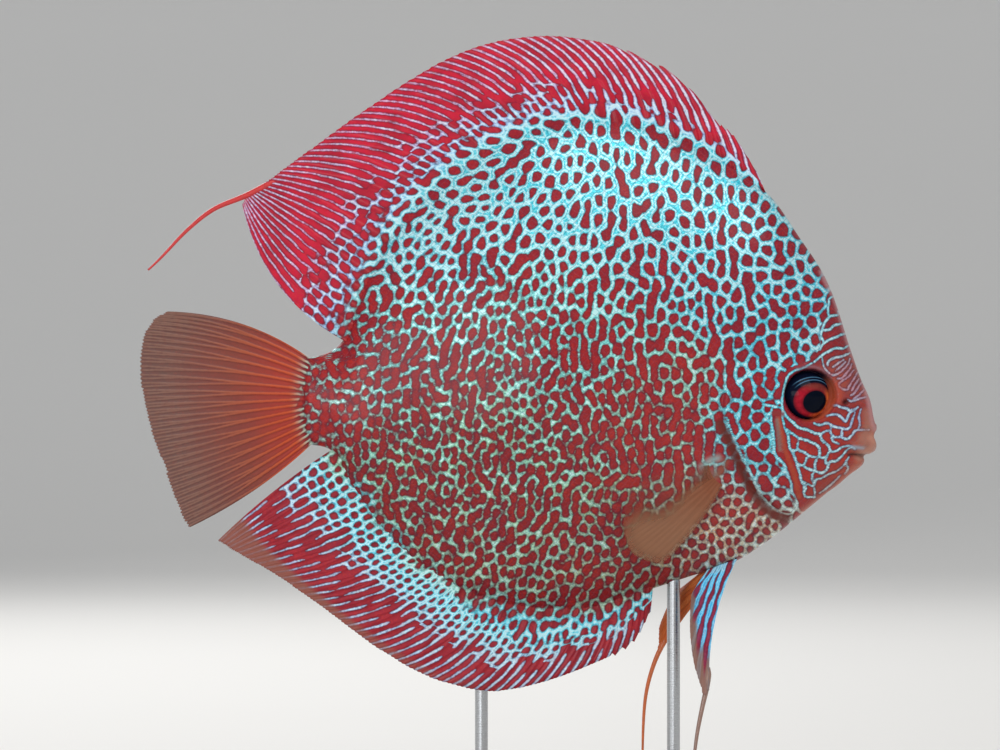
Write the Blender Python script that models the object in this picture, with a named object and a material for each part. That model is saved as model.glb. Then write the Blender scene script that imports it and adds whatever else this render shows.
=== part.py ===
# A discus fish as a still, life-size museum model on a plain stand.
# The fish faces +X, its right flank faces -Y, and the floor is z = 0.
# Outlines are in millimetres in the fish's own frame: x forward, z up, origin at mid-length.
import math

import bmesh
import bpy
import numpy as np
from mathutils import Vector

MM = 0.001
GAP = 0.3  # kept between any two pieces, mm

# Stand, mm
BASE_LENGTH = 124.0
BASE_WIDTH = 66.0
BASE_THICK = 8.0
BASE_CORNER = 14.0
BASE_BEVEL = 1.6
ROD_RADIUS = 1.5
ROD_SIDES = 20
ROD_TOP = -22.0  # inside the body, which is then cut out of the rod
FRONT_ROD_AT = (38.2, 0.0)  # x and y, under the belly between the pelvic and anal fins
REAR_ROD_AT = (-6.0, 6.6)  # beside the anal fin, on the far side
LOWEST_TIP = -100.0  # the longest pelvic filament's tip
TIP_CLEARANCE = 5.0  # from that tip down to the base
FISH_HEIGHT = BASE_THICK + TIP_CLEARANCE - LOWEST_TIP  # the fish's origin above the floor

# Body outline, from the snout's tip back along the back and the belly
BACK_LINE = [
    (85.2, -15.0), (84.3, -12.4), (83.4, -8.0), (81.3, -3.2), (78.9, 3.6), (73.9, 18.4),
    (67.4, 29.0), (58.6, 40.6), (42.5, 51.4), (26.0, 56.4), (8.6, 55.6), (-6.3, 49.6), (-19.0, 40.2),
    (-28.2, 28.8), (-33.5, 17.2), (-36.8, 7.4), (-40.5, 3.2), (-46.6, 1.4),
]
BELLY_LINE = [
    (85.2, -15.0), (84.6, -17.0), (84.2, -19.2), (81.6, -21.8), (78.4, -25.2), (74.2, -28.8), (67.2, -34.6),
    (60.2, -40.2),
    (52.3, -45.2), (42.0, -48.6), (31.6, -52.0), (16.7, -56.6), (-1.7, -55.2), (-17.8, -48.2),
    (-28.2, -39.0), (-35.6, -28.6), (-40.0, -20.0), (-46.6, -18.0),
]
# Half the body's thickness at stations along x
HALF_WIDTH = [
    (85.2, 2.2), (84.2, 3.6), (82.0, 5.2), (78.0, 7.2), (74.0, 8.8), (68.0, 10.6), (60.0, 12.6),
    (50.0, 14.0), (36.0, 14.6), (18.0, 14.0), (0.0, 12.0), (-16.0, 9.0), (-30.0, 6.0),
    (-40.0, 4.0), (-46.6, 1.9),
]
LATTICE_CENTRE = (30.0, -7.0)
LATTICE_CELLS = 30
RIM_CROWDING = 0.55  # how far the lattice's rings crowd towards the outline, 0 to 1
AXIS_SHARE = 0.47  # the widest level, as a share of the height from belly to back
EDGE_ROUND = 0.5  # a round edge, as on the forehead and throat
EDGE_SHARP = 0.74  # a sharper edge, where a fin grows
FIN_EDGE_FROM, FIN_EDGE_TO = 62.0, 44.0  # the back turns sharp between these stations
BELLY_EDGE_FROM, BELLY_EDGE_TO = 44.0, 26.0

# Cuts that part the body
NAPE_TO_THROAT = [
    (67.0, 44.0), (62.6, 34.0), (58.1, 23.0), (54.4, 10.4), (52.2, -1.2), (51.2, -8.5),
    (52.2, -15.0), (54.4, -21.2), (57.4, -26.4), (61.4, -30.4), (66.4, -33.8), (70.0, -38.5),
]
STALK_CUT = [(-37.6, 14.0), (-38.6, 0.0), (-39.2, -9.0), (-38.6, -18.0), (-37.4, -34.0)]
MOUTH_CORNER = (78.3, -20.7)
MOUTH_FRONT = (90.0, -21.3)
JAW_BACK = [(76.6, -24.4), (74.0, -28.0), (70.0, -37.0)]

# Gill cover
COVER_OUTLINE = [
    (62.4, -4.0), (61.9, -9.5), (61.9, -15.5), (62.9, -21.9), (64.7, -28.2), (66.6, -32.6),
    (64.4, -34.2), (60.0, -31.8), (55.9, -27.7), (52.9, -21.9), (50.6, -15.2), (49.6, -9.4),
    (52.0, -5.6), (57.0, -3.2),
]
COVER_RAISE = 0.5
COVER_THICK = 1.8

# Eye
EYE_AT = (69.9, -7.2)
EYE_RADIUS = 5.7
EYE_HALF_DEPTH = 4.3
EYE_BULGE = 1.3  # the cornea stands this far out of the cheek
ORBIT_TUBE = 0.8
ORBIT_STEPS = 22
NOSTRIL_AT = (77.8, -8.6)
NOSTRIL_RADII = (0.65, 0.75, 0.8)
LIP_STEPS = 13
UPPER_LIP = (1.6, 1.9, 82.8)  # the roll's radius, its rise over the mouth's line and how far forward it comes
LOWER_LIP = (1.35, -1.6, 80.3)

# Fins: stations from front to rear, each with root, tip and how far the ray bows, as a share of its length
DORSAL = [
    ((59.0, 40.4), (57.4, 44.4), 0.0),
    ((54.6, 44.4), (52.2, 52.6), 0.04),
    ((52.0, 46.4), (48.0, 56.2), 0.05),
    ((49.0, 48.2), (43.6, 61.8), 0.05),
    ((45.2, 50.2), (38.0, 66.8), 0.06),
    ((40.6, 52.2), (31.6, 70.0), 0.06),
    ((32.8, 54.8), (21.6, 74.3), 0.07),
    ((21.2, 56.7), (5.4, 75.6), 0.08),
    ((8.6, 55.6), (-12.0, 71.4), 0.09),
    ((-6.3, 49.6), (-31.6, 59.6), 0.09),
    ((-19.0, 40.2), (-47.4, 48.0), 0.08),
    ((-28.2, 28.8), (-56.4, 41.6), 0.02),
    ((-33.5, 17.2), (-59.8, 39.4), -0.08),
    ((-37.2, 5.4), (-61.0, 37.0), -0.23),
]
# Rays, rows of faces from root to tip, how far the root runs into the body, half thicknesses at root and tip,
# the count of hard spines at the front and how far a ray's tip stands out, as a share of its length
DORSAL_SHEET = {
    "rays": 24, "rows": 5, "sink": 3.0, "membrane": (1.0, 0.3), "ray": (1.35, 0.55),
    "spines": 9, "teeth": 0.045,
}
DORSAL_WAVE = (0.9, 5.0, 0.6)  # how far the fin's edge swings, mm, then the wave's turn and start
DORSAL_THREAD_END_Y = -1.6
DORSAL_THREAD = [(-52.0, 43.0), (-60.0, 39.0), (-67.4, 35.8), (-73.4, 31.0), (-78.6, 25.8), (-82.6, 21.8)]

ANAL = [
    ((33.4, -51.4), (33.0, -56.6), 0.0),
    ((30.0, -52.6), (28.8, -63.8), -0.04),
    ((24.6, -54.8), (20.6, -68.4), -0.05),
    ((16.7, -56.6), (8.6, -72.8), -0.06),
    ((7.6, -56.9), (-4.0, -75.0), -0.06),
    ((-1.7, -55.2), (-17.8, -71.8), -0.06),
    ((-10.2, -52.2), (-29.4, -65.4), -0.06),
    ((-17.8, -48.2), (-39.8, -57.8), -0.05),
    ((-24.4, -42.8), (-49.0, -51.2), -0.04),
    ((-30.6, -35.8), (-57.4, -45.8), -0.03),
    ((-35.6, -28.6), (-63.4, -42.6), 0.0),
    ((-40.6, -19.6), (-66.6, -40.4), 0.05),
]
ANAL_SHEET = {
    "rays": 22, "rows": 5, "sink": 3.0, "membrane": (1.0, 0.3), "ray": (1.35, 0.55),
    "spines": 6, "teeth": 0.045,
}
ANAL_WAVE = (0.8, 4.4, 2.0)

CAUDAL = [
    ((-45.0, 1.2), (-78.6, 12.3), 0.16),
    ((-45.6, -1.0), (-82.6, 9.0), 0.1),
    ((-46.2, -3.4), (-84.4, 3.0), 0.06),
    ((-46.6, -6.0), (-84.2, -5.0), 0.03),
    ((-46.6, -8.4), (-82.8, -11.6), 0.0),
    ((-46.6, -10.8), (-80.6, -18.4), -0.02),
    ((-46.4, -13.4), (-78.0, -25.4), -0.04),
    ((-45.8, -15.8), (-75.8, -31.8), -0.06),
    ((-44.8, -18.0), (-73.2, -37.4), -0.08),
]
CAUDAL_SHEET = {
    "rays": 15, "rows": 5, "sink": 3.0, "membrane": (0.8, 0.28), "ray": (1.15, 0.5),
    "spines": 0, "teeth": 0.03,
}
CAUDAL_WAVE = (0.7, 5.5, 0.0)
CAUDAL_BEND = 2.4  # the tail's tip swings this far to the right

PECTORAL = [
    ((47.0, -22.6), (31.0, -25.6), 0.04),
    ((47.5, -23.3), (27.2, -30.0), 0.03),
    ((48.1, -24.0), (26.0, -36.4), 0.0),
    ((48.8, -24.8), (28.0, -42.8), -0.03),
    ((49.6, -25.6), (32.6, -45.6), -0.08),
]
PECTORAL_SHEET = {
    "rays": 9, "rows": 5, "sink": 1.2, "membrane": (0.6, 0.32), "ray": (0.8, 0.42), "spines": 0, "teeth": 0.0,
}
PECTORAL_LIFT = {"right": (1.5, 3.4), "left": (1.8, 9.0)}  # off the flank near the root and at the tip
PECTORAL_HINGE = 0.22  # the share of a ray in which the fin comes off the flank

PELVIC = {
    "right": [
        ((51.6, -45.8), (47.6, -71.6), 0.13),
        ((50.0, -46.6), (45.4, -75.2), 0.07),
        ((48.2, -47.2), (43.6, -73.8), 0.0),
        ((46.4, -47.8), (42.2, -69.2), 0.0),
        ((44.8, -48.2), (41.4, -63.8), 0.0),
        ((43.4, -48.6), (41.8, -57.2), 0.0),
    ],
    "left": [
        ((50.4, -46.4), (35.6, -66.6), 0.05),
        ((49.0, -47.0), (35.0, -66.0), 0.07),
        ((47.6, -47.5), (35.0, -62.0), 0.08),
        ((46.2, -47.9), (36.0, -58.6), 0.06),
        ((44.8, -48.2), (37.4, -55.6), 0.04),
        ((43.6, -48.6), (39.4, -52.4), 0.0),
    ],
}
PELVIC_THREAD = {
    "right": [(48.4, -62.0), (46.8, -70.0), (45.0, -77.0), (43.2, -85.0), (42.2, -92.0), (41.8, -100.0)],
    "left": [(40.6, -57.0), (37.6, -62.0), (34.6, -68.0), (32.4, -76.0), (31.4, -85.0), (31.2, -94.0)],
}
PELVIC_SHEET = {
    "rays": 6, "rows": 6, "sink": 2.6, "membrane": (0.7, 0.3), "ray": (1.0, 0.5), "spines": 0, "teeth": 0.0,
}
PELVIC_ROOT_Y = 3.4
PELVIC_SPLAY = {"right": 4.6, "left": 5.2}  # how far the tip swings out
PELVIC_THREAD_FROM = 0.6  # where the thread leaves the first ray
PELVIC_THREAD_SPLAY = 1.6  # how much further out the thread's end is
THREAD_STEPS = 14
THREAD_TAPER = (0.85, 0.23)  # a thread's radius where it starts and ends

# Each node's colour, roughness and metallic value
LOOKS = {
    "head": ((0.50, 0.15, 0.11, 1.0), 0.3, 0.1),
    "lower_jaw": ((0.48, 0.18, 0.14, 1.0), 0.35, 0.0),
    "torso": ((0.34, 0.30, 0.28, 1.0), 0.3, 0.1),
    "tail_stalk": ((0.46, 0.20, 0.16, 1.0), 0.3, 0.1),
    "gill_cover": ((0.42, 0.22, 0.22, 1.0), 0.28, 0.15),
    "eye": ((0.05, 0.02, 0.03, 1.0), 0.08, 0.0),
    "dorsal_fin": ((0.62, 0.05, 0.08, 1.0), 0.35, 0.0),
    "anal_fin": ((0.55, 0.12, 0.15, 1.0), 0.35, 0.0),
    "tail_fin": ((0.36, 0.15, 0.10, 1.0), 0.35, 0.0),
    "pectoral_fin": ((0.30, 0.16, 0.10, 1.0), 0.35, 0.0),
    "pelvic_fin": ((0.14, 0.42, 0.58, 1.0), 0.35, 0.1),
    "stand_base": ((0.10, 0.06, 0.04, 1.0), 0.4, 0.0),
    "stand_rod": ((0.60, 0.61, 0.62, 1.0), 0.28, 1.0),
}
SMOOTH_UNDER = 35.0  # edges sharper than this many degrees stay sharp


# Shared helpers
def clear_scene():
    for obj in list(bpy.data.objects):
        bpy.data.objects.remove(obj)


def dress(obj):
    """Gives a finished node its own material and smooth shading."""
    kind = next(kind for kind in LOOKS if obj.name.startswith(kind))
    colour, roughness, metallic = LOOKS[kind]
    made = bpy.data.materials.new(obj.name)
    made.use_nodes = True
    shader = made.node_tree.nodes["Principled BSDF"]
    shader.inputs["Base Color"].default_value = colour
    shader.inputs["Roughness"].default_value = roughness
    shader.inputs["Metallic"].default_value = metallic
    obj.data.materials.clear()
    obj.data.materials.append(made)
    obj.data.shade_smooth()
    obj.data.set_sharp_from_angle(angle=math.radians(SMOOTH_UNDER))


def spline(points, count):
    """A smooth line through the points, read at evenly spaced stations between them."""
    p = np.array(points, float)
    slope = np.gradient(p, axis=0)
    at = np.linspace(0, len(p) - 1, count)
    i = np.minimum(at.astype(int), len(p) - 2)
    t = (at - i)[:, None]
    return (
        (2 * t**3 - 3 * t**2 + 1) * p[i]
        + (t**3 - 2 * t**2 + t) * slope[i]
        + (3 * t**2 - 2 * t**3) * p[i + 1]
        + (t**3 - t**2) * slope[i + 1]
    )


def smoothstep(a, b, x):
    t = np.clip((x - a) / (b - a), 0, 1)
    return t * t * (3 - 2 * t)


BACK = spline(BACK_LINE, 240)[::-1]
BELLY = spline(BELLY_LINE, 240)[::-1]
WIDTHS = spline(HALF_WIDTH, 160)[::-1]


def back_at(x):
    return np.interp(x, BACK[:, 0], BACK[:, 1])


def belly_at(x):
    return np.interp(x, BELLY[:, 0], BELLY[:, 1])


def half_width(x, z):
    """Half the body's thickness at a point of its side view, mm."""
    top, bottom = back_at(x), belly_at(x)
    axis = bottom + AXIS_SHARE * (top - bottom)
    above = z > axis
    share = np.clip(np.where(above, (z - axis) / (top - axis), (axis - z) / (axis - bottom)), 0, 1)
    sharp_back = smoothstep(FIN_EDGE_FROM, FIN_EDGE_TO, x)
    sharp_belly = smoothstep(BELLY_EDGE_FROM, BELLY_EDGE_TO, x)
    sharp = np.where(above, sharp_back, sharp_belly)
    power = EDGE_ROUND + (EDGE_SHARP - EDGE_ROUND) * sharp
    return np.interp(x, WIDTHS[:, 0], WIDTHS[:, 1]) * (1 - share**2.2) ** power


def outline_radius():
    """The body outline seen from the lattice's centre, as sorted angles and radii."""
    rim = np.vstack([BACK, BELLY])
    away = rim - np.array(LATTICE_CENTRE)
    angle, radius = np.arctan2(away[:, 1], away[:, 0]), np.hypot(away[:, 0], away[:, 1])
    order = np.argsort(angle)
    return angle[order], radius[order]


RIM_ANGLE, RIM_RADIUS = outline_radius()


def disc_point(a, b):
    """Maps a square's point (-1..1 each way) to a disc's: radius and angle."""
    if abs(a) < 1e-9 and abs(b) < 1e-9:
        return 0.0, 0.0
    if abs(a) > abs(b):
        return abs(a), math.pi / 4 * (b / a) + (0.0 if a > 0 else math.pi)
    return abs(b), math.pi / 2 - math.pi / 4 * (a / b) + (0.0 if b > 0 else math.pi)


def lattice_to_body(a, b):
    """A square lattice's point as (x, z) in the body's side view."""
    share, angle = disc_point(a, b)
    crowded = (1 - RIM_CROWDING) * share + RIM_CROWDING * math.sin(math.pi / 2 * share)
    turn = (angle + math.pi) % (2 * math.pi) - math.pi
    reach = np.interp(turn, RIM_ANGLE, RIM_RADIUS, period=2 * math.pi)
    return (
        LATTICE_CENTRE[0] + crowded * reach * math.cos(angle),
        LATTICE_CENTRE[1] + crowded * reach * math.sin(angle),
    )


def add_object(name, bm):
    """Puts a mesh made in the fish's millimetres into the scene, in metres above the floor."""
    bmesh.ops.recalc_face_normals(bm, faces=bm.faces)
    if bm.calc_volume(signed=True) < 0:
        bmesh.ops.reverse_faces(bm, faces=bm.faces)
    for vert in bm.verts:
        vert.co.x *= MM
        vert.co.y *= MM
        vert.co.z = (vert.co.z + FISH_HEIGHT) * MM
    mesh = bpy.data.meshes.new(name)
    bm.to_mesh(mesh)
    bm.free()
    obj = bpy.data.objects.new(name, mesh)
    bpy.context.scene.collection.objects.link(obj)
    return obj


def copy_of(obj, name):
    made = bpy.data.objects.new(name, obj.data.copy())
    bpy.context.scene.collection.objects.link(made)
    return made


def combine(obj, others, operation):
    """One Boolean of obj with closed meshes, which are then removed."""
    group = bpy.data.collections.new("cutters")
    bpy.context.scene.collection.children.link(group)
    for other in others:
        group.objects.link(other)
    modifier = obj.modifiers.new("join", "BOOLEAN")
    modifier.operation = operation
    modifier.operand_type = "COLLECTION"
    modifier.collection = group
    modifier.solver = "EXACT"
    bpy.context.view_layer.update()
    evaluated = obj.evaluated_get(bpy.context.evaluated_depsgraph_get())
    result = bpy.data.meshes.new_from_object(evaluated)
    obj.modifiers.clear()
    obj.data = result
    for other in others:
        bpy.data.objects.remove(other)
    bpy.data.collections.remove(group)
    keep_largest(obj)
    return obj


def keep_largest(obj):
    """Leaves only the closed surface that holds the most volume."""
    bm = bmesh.new()
    bm.from_mesh(obj.data)
    bmesh.ops.remove_doubles(bm, verts=bm.verts, dist=1e-7)
    unseen, islands = set(bm.faces), []
    while unseen:
        front = [unseen.pop()]
        island = list(front)
        while front:
            for edge in front.pop().edges:
                joined = [face for face in edge.link_faces if face in unseen]
                unseen.difference_update(joined)
                front.extend(joined)
                island.extend(joined)
        islands.append(island)
    islands.sort(key=volume_of, reverse=True)
    loose = [face for island in islands[1:] for face in island]
    bmesh.ops.delete(bm, geom=loose, context="FACES")
    bm.to_mesh(obj.data)
    bm.free()


def volume_of(faces):
    """Six times the volume inside a closed set of faces."""
    total = 0.0
    for face in faces:
        corners = [vert.co for vert in face.verts]
        for second, third in zip(corners[1:], corners[2:]):
            total += corners[0].dot(second.cross(third))
    return total


def prism(name, outline, depth=40.0):
    """A closed block: the outline of the side view, pulled through the fish along y."""
    bm = bmesh.new()
    ring = [bm.verts.new((x, -depth / 2, z)) for x, z in outline]
    face = bm.faces.new(ring)
    grown = bmesh.ops.extrude_face_region(bm, geom=[face])
    moved = [g for g in grown["geom"] if isinstance(g, bmesh.types.BMVert)]
    bmesh.ops.translate(bm, verts=moved, vec=(0, depth, 0))
    obj = add_object(name, bm)
    obj.hide_render = True
    return obj


# Body
def body_mesh(grow=0.0):
    """The whole body, both flanks, grown outwards by so many millimetres."""
    bm = bmesh.new()
    bmesh.ops.create_grid(bm, x_segments=LATTICE_CELLS, y_segments=LATTICE_CELLS, size=1.0)
    rim = {vert for vert in bm.verts if max(abs(vert.co.x), abs(vert.co.y)) > 1 - 1e-6}
    for face in list(bm.faces):
        # Every diagonal runs outwards, so that no triangle lies along the rim
        outer = max(face.verts, key=lambda v: abs(v.co.x) + abs(v.co.y))
        ring = list(face.verts)
        bmesh.utils.face_split(face, outer, ring[(ring.index(outer) + 2) % 4])
    for vert in bm.verts:
        x, z = lattice_to_body(vert.co.x, vert.co.y)
        y = 0.0 if vert in rim else -float(half_width(x, z))
        vert.co = (x, y, z)
    bmesh.ops.mirror(bm, geom=bm.verts[:] + bm.edges[:] + bm.faces[:], axis="Y", merge_dist=1e-4)
    bmesh.ops.remove_doubles(bm, verts=bm.verts, dist=1e-4)
    bmesh.ops.recalc_face_normals(bm, faces=bm.faces)
    bm.normal_update()
    if grow:
        moves = [(vert, vert.normal * grow) for vert in bm.verts]
        for vert, move in moves:
            vert.co += move
    return bm


def shifted(line, dx):
    return [(x + dx, z) for x, z in line]


def make_body():
    """Head, lower jaw, trunk and tail stalk, parted by thin cuts."""
    whole = add_object("whole_body", body_mesh())
    far, high, low = 200.0, 90.0, -90.0
    nape = [tuple(p) for p in spline(NAPE_TO_THROAT, 34)]
    stalk = [tuple(p) for p in spline(STALK_CUT, 9)]
    head_block = prism("head_block", [*nape, (far, low), (far, high)])
    trunk_block = prism(
        "trunk_block",
        [(nape[0][0] - GAP, high), *shifted(nape, -GAP), (nape[-1][0] - GAP, low), (stalk[-1][0], low),
         *stalk[::-1], (stalk[0][0], high)],
    )
    stalk_block = prism("stalk_block", [*shifted(stalk, -GAP), (-far, low), (-far, high)])
    jaw = [MOUTH_FRONT, MOUTH_CORNER, *JAW_BACK]
    jaw_block = prism("jaw_block", [*jaw, (far, low), (far, MOUTH_FRONT[1])])
    corner = (MOUTH_CORNER[0] - GAP, MOUTH_CORNER[1] + GAP)
    lip_line = [(far, MOUTH_FRONT[1] + GAP), (MOUTH_FRONT[0], MOUTH_FRONT[1] + GAP), corner]
    jaw_room = prism(
        "jaw_room", [*lip_line, *shifted(JAW_BACK, -GAP), (JAW_BACK[-1][0] - GAP, low), (far, low)]
    )
    head = combine(copy_of(whole, "head"), [head_block], "INTERSECT")
    trunk = combine(copy_of(whole, "torso"), [trunk_block], "INTERSECT")
    stalk_node = combine(copy_of(whole, "tail_stalk"), [stalk_block], "INTERSECT")
    lower_jaw = combine(copy_of(head, "lower_jaw"), [jaw_block], "INTERSECT")
    combine(head, [jaw_room], "DIFFERENCE")
    bpy.data.objects.remove(whole)
    return head, lower_jaw, trunk, stalk_node


def flank_patch(name, outline, side, inner, outer, rings=3):
    """A plate that follows the flank, from inner to outer mm off it, inside an outline of the side view."""
    rim = np.array(outline)
    centre = rim.mean(axis=0)
    bm = bmesh.new()
    sheets = []
    for off in (inner, outer):
        loops = []
        for ring in range(rings):
            points = centre + (rim - centre) * (1 - ring / rings)
            y = side * (half_width(points[:, 0], points[:, 1]) + off)
            loops.append([bm.verts.new((p[0], v, p[1])) for p, v in zip(points, y)])
        mid = bm.verts.new((centre[0], side * (float(half_width(*centre)) + off), centre[1]))
        count = len(rim)
        for outer_loop, inner_loop in zip(loops, loops[1:]):
            for i in range(count):
                j = (i + 1) % count
                bm.faces.new((outer_loop[i], outer_loop[j], inner_loop[j], inner_loop[i]))
        for i in range(count):
            bm.faces.new((loops[-1][i], loops[-1][(i + 1) % count], mid))
        sheets.append(loops[0])
    for i in range(len(rim)):
        j = (i + 1) % len(rim)
        bm.faces.new((sheets[0][i], sheets[0][j], sheets[1][j], sheets[1][i]))
    bmesh.ops.triangulate(bm, faces=bm.faces)
    return add_object(name, bm)


def make_gill_cover(head, trunk, side, name):
    outline = [tuple(p) for p in spline([*COVER_OUTLINE, COVER_OUTLINE[0]], 29)[:-1]]
    centre = np.mean(outline, axis=0)
    away = np.array(outline) - centre
    room_outline = centre + away * (1 + (GAP / np.linalg.norm(away, axis=1))[:, None])
    flank_patch(name, outline, side, COVER_RAISE - COVER_THICK, COVER_RAISE)
    for node in (head, trunk):
        room = flank_patch("cover_room", room_outline, side, COVER_RAISE - COVER_THICK - GAP, COVER_RAISE + 3)
        combine(node, [room], "DIFFERENCE")


def tube(name, path, radii, plane_normal, sides=8):
    """A closed tapered tube along a line of 3-D points that lies near a plane, mm."""
    path = np.array(path, float)
    bm = bmesh.new()
    tangent = np.gradient(path, axis=0)
    loops = []
    for point, along, radius in zip(path, tangent, radii):
        along = along / np.linalg.norm(along)
        across = np.cross(along, plane_normal)
        across /= np.linalg.norm(across)
        up = np.cross(along, across)
        turns = [2 * math.pi * k / sides for k in range(sides)]
        ring = [point + radius * (math.cos(a) * across + math.sin(a) * up) for a in turns]
        loops.append([bm.verts.new(corner) for corner in ring])
    for first, second in zip(loops, loops[1:]):
        for i in range(sides):
            j = (i + 1) % sides
            bm.faces.new((first[i], first[j], second[j], second[i]))
    bm.faces.new(loops[0][::-1])
    bm.faces.new(loops[-1])
    bmesh.ops.triangulate(bm, faces=bm.faces)
    return add_object(name, bm)


def flank_point(x, z, side):
    """A point on the flank and the way out of the flesh there."""
    step = 0.5
    along = (float(half_width(x + step, z)) - float(half_width(x - step, z))) / (2 * step)
    up = (float(half_width(x, z + step)) - float(half_width(x, z - step))) / (2 * step)
    out = Vector((-along, side, -up)).normalized()
    return Vector((x, side * float(half_width(x, z)), z)), out


def ellipsoid(name, centre, axis, radii, turns=20, rings=10):
    """A closed ellipsoid whose last radius lies along the axis."""
    bm = bmesh.new()
    bmesh.ops.create_uvsphere(bm, u_segments=turns, v_segments=rings, radius=1.0)
    bmesh.ops.scale(bm, verts=bm.verts, vec=radii)
    turn = Vector((0, 0, 1)).rotation_difference(axis).to_matrix()
    bmesh.ops.rotate(bm, verts=bm.verts, cent=(0, 0, 0), matrix=turn)
    bmesh.ops.translate(bm, verts=bm.verts, vec=centre)
    bmesh.ops.triangulate(bm, faces=bm.faces)
    return add_object(name, bm)


def make_eyes(head):
    for side, name in ((-1, "eye_right"), (1, "eye_left")):
        surface, out = flank_point(*EYE_AT, side)
        centre = surface - out * (EYE_HALF_DEPTH - EYE_BULGE)
        ring = []
        for k in range(ORBIT_STEPS):
            a = 2 * math.pi * k / ORBIT_STEPS
            x = EYE_AT[0] + (EYE_RADIUS + 0.5 * ORBIT_TUBE) * math.cos(a)
            z = EYE_AT[1] + (EYE_RADIUS + 0.5 * ORBIT_TUBE) * math.sin(a)
            ring.append((x, side * (float(half_width(x, z)) - 0.15), z))
        combine(head, [ring_tube("orbit", ring, ORBIT_TUBE)], "UNION")
        room = [r + GAP for r in (EYE_RADIUS, EYE_RADIUS, EYE_HALF_DEPTH)]
        combine(head, [ellipsoid("socket", centre, out, room)], "DIFFERENCE")
        ellipsoid(name, centre, out, (EYE_RADIUS, EYE_RADIUS, EYE_HALF_DEPTH))


def ring_tube(name, path, radius, sides=6):
    """A closed ring of round section through the points."""
    path = np.array(path, float)
    bm = bmesh.new()
    loops = []
    centre = path.mean(axis=0)
    for point in path:
        out = point - centre
        out[1] = 0
        out /= np.linalg.norm(out)
        turns = [2 * math.pi * k / sides for k in range(sides)]
        loops.append([bm.verts.new(point + radius * (math.cos(a) * out + math.sin(a) * np.array((0, 1, 0))))
                      for a in turns])
    for i in range(len(loops)):
        first, second = loops[i], loops[(i + 1) % len(loops)]
        for k in range(sides):
            j = (k + 1) % sides
            bm.faces.new((first[k], first[j], second[j], second[k]))
    bmesh.ops.triangulate(bm, faces=bm.faces)
    return add_object(name, bm)


def mouth_level(x):
    share = (x - MOUTH_CORNER[0]) / (MOUTH_FRONT[0] - MOUTH_CORNER[0])
    return MOUTH_CORNER[1] + (MOUTH_FRONT[1] - MOUTH_CORNER[1]) * share


def lip(radius, rise, front_x):
    """A roll round the snout from one corner of the mouth to the other."""
    corner_x = MOUTH_CORNER[0] + radius / 2
    corner_y = float(half_width(corner_x, MOUTH_CORNER[1] + rise)) - 0.4 * radius
    turns = np.linspace(-math.pi / 2, math.pi / 2, LIP_STEPS)
    x = corner_x + (front_x - corner_x) * np.cos(turns)
    radii = radius * (0.5 + 0.5 * np.cos(turns) ** 0.7)
    heights = mouth_level(x) + np.sign(rise) * GAP + (rise - np.sign(rise) * GAP) * radii / radius
    return tube("lip", np.column_stack([x, corner_y * np.sin(turns), heights]), radii, (0, 0, 1))


def make_face(head, lower_jaw):
    """Lips along the mouth and a nostril on each side."""
    combine(head, [lip(*UPPER_LIP)], "UNION")
    combine(lower_jaw, [lip(*LOWER_LIP)], "UNION")
    far, corner_x = 95.0, MOUTH_CORNER[0]
    corner = (corner_x - GAP, MOUTH_CORNER[1] + GAP)
    under = [(far, mouth_level(far) + GAP), corner, *shifted(JAW_BACK[:2], -GAP)]
    combine(head, [prism("under_lip", [*under, (far, JAW_BACK[1][1])])], "DIFFERENCE")
    near = far - 40
    over = [(far, mouth_level(far)), MOUTH_CORNER, *JAW_BACK[:2], (near, JAW_BACK[1][1]), (near, 0), (far, 0)]
    combine(lower_jaw, [prism("over_lip", over)], "DIFFERENCE")
    for side in (-1, 1):
        surface, out = flank_point(*NOSTRIL_AT, side)
        combine(head, [ellipsoid("nostril", surface, out, NOSTRIL_RADII, turns=10, rings=6)], "DIFFERENCE")


# Fins
def fin_point(stations, s, t):
    """Where a ray is in the side view: s from root to tip, t from the first ray to the last."""
    table = np.array([(*root, *tip, bow) for root, tip, bow in stations], float)
    at = t * (len(table) - 1)
    i = min(int(at), len(table) - 2)
    slope = np.gradient(table, axis=0)
    u = at - i
    row = (
        (2 * u**3 - 3 * u**2 + 1) * table[i]
        + (u**3 - 2 * u**2 + u) * slope[i]
        + (3 * u**2 - 2 * u**3) * table[i + 1]
        + (u**3 - u**2) * slope[i + 1]
    )
    root, tip, bow = row[:2], row[2:4], row[4]
    along = tip - root
    bend = (root + tip) / 2 + bow * np.array((along[1], -along[0]))
    return (1 - s) ** 2 * root + 2 * s * (1 - s) * bend + s * s * tip


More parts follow.
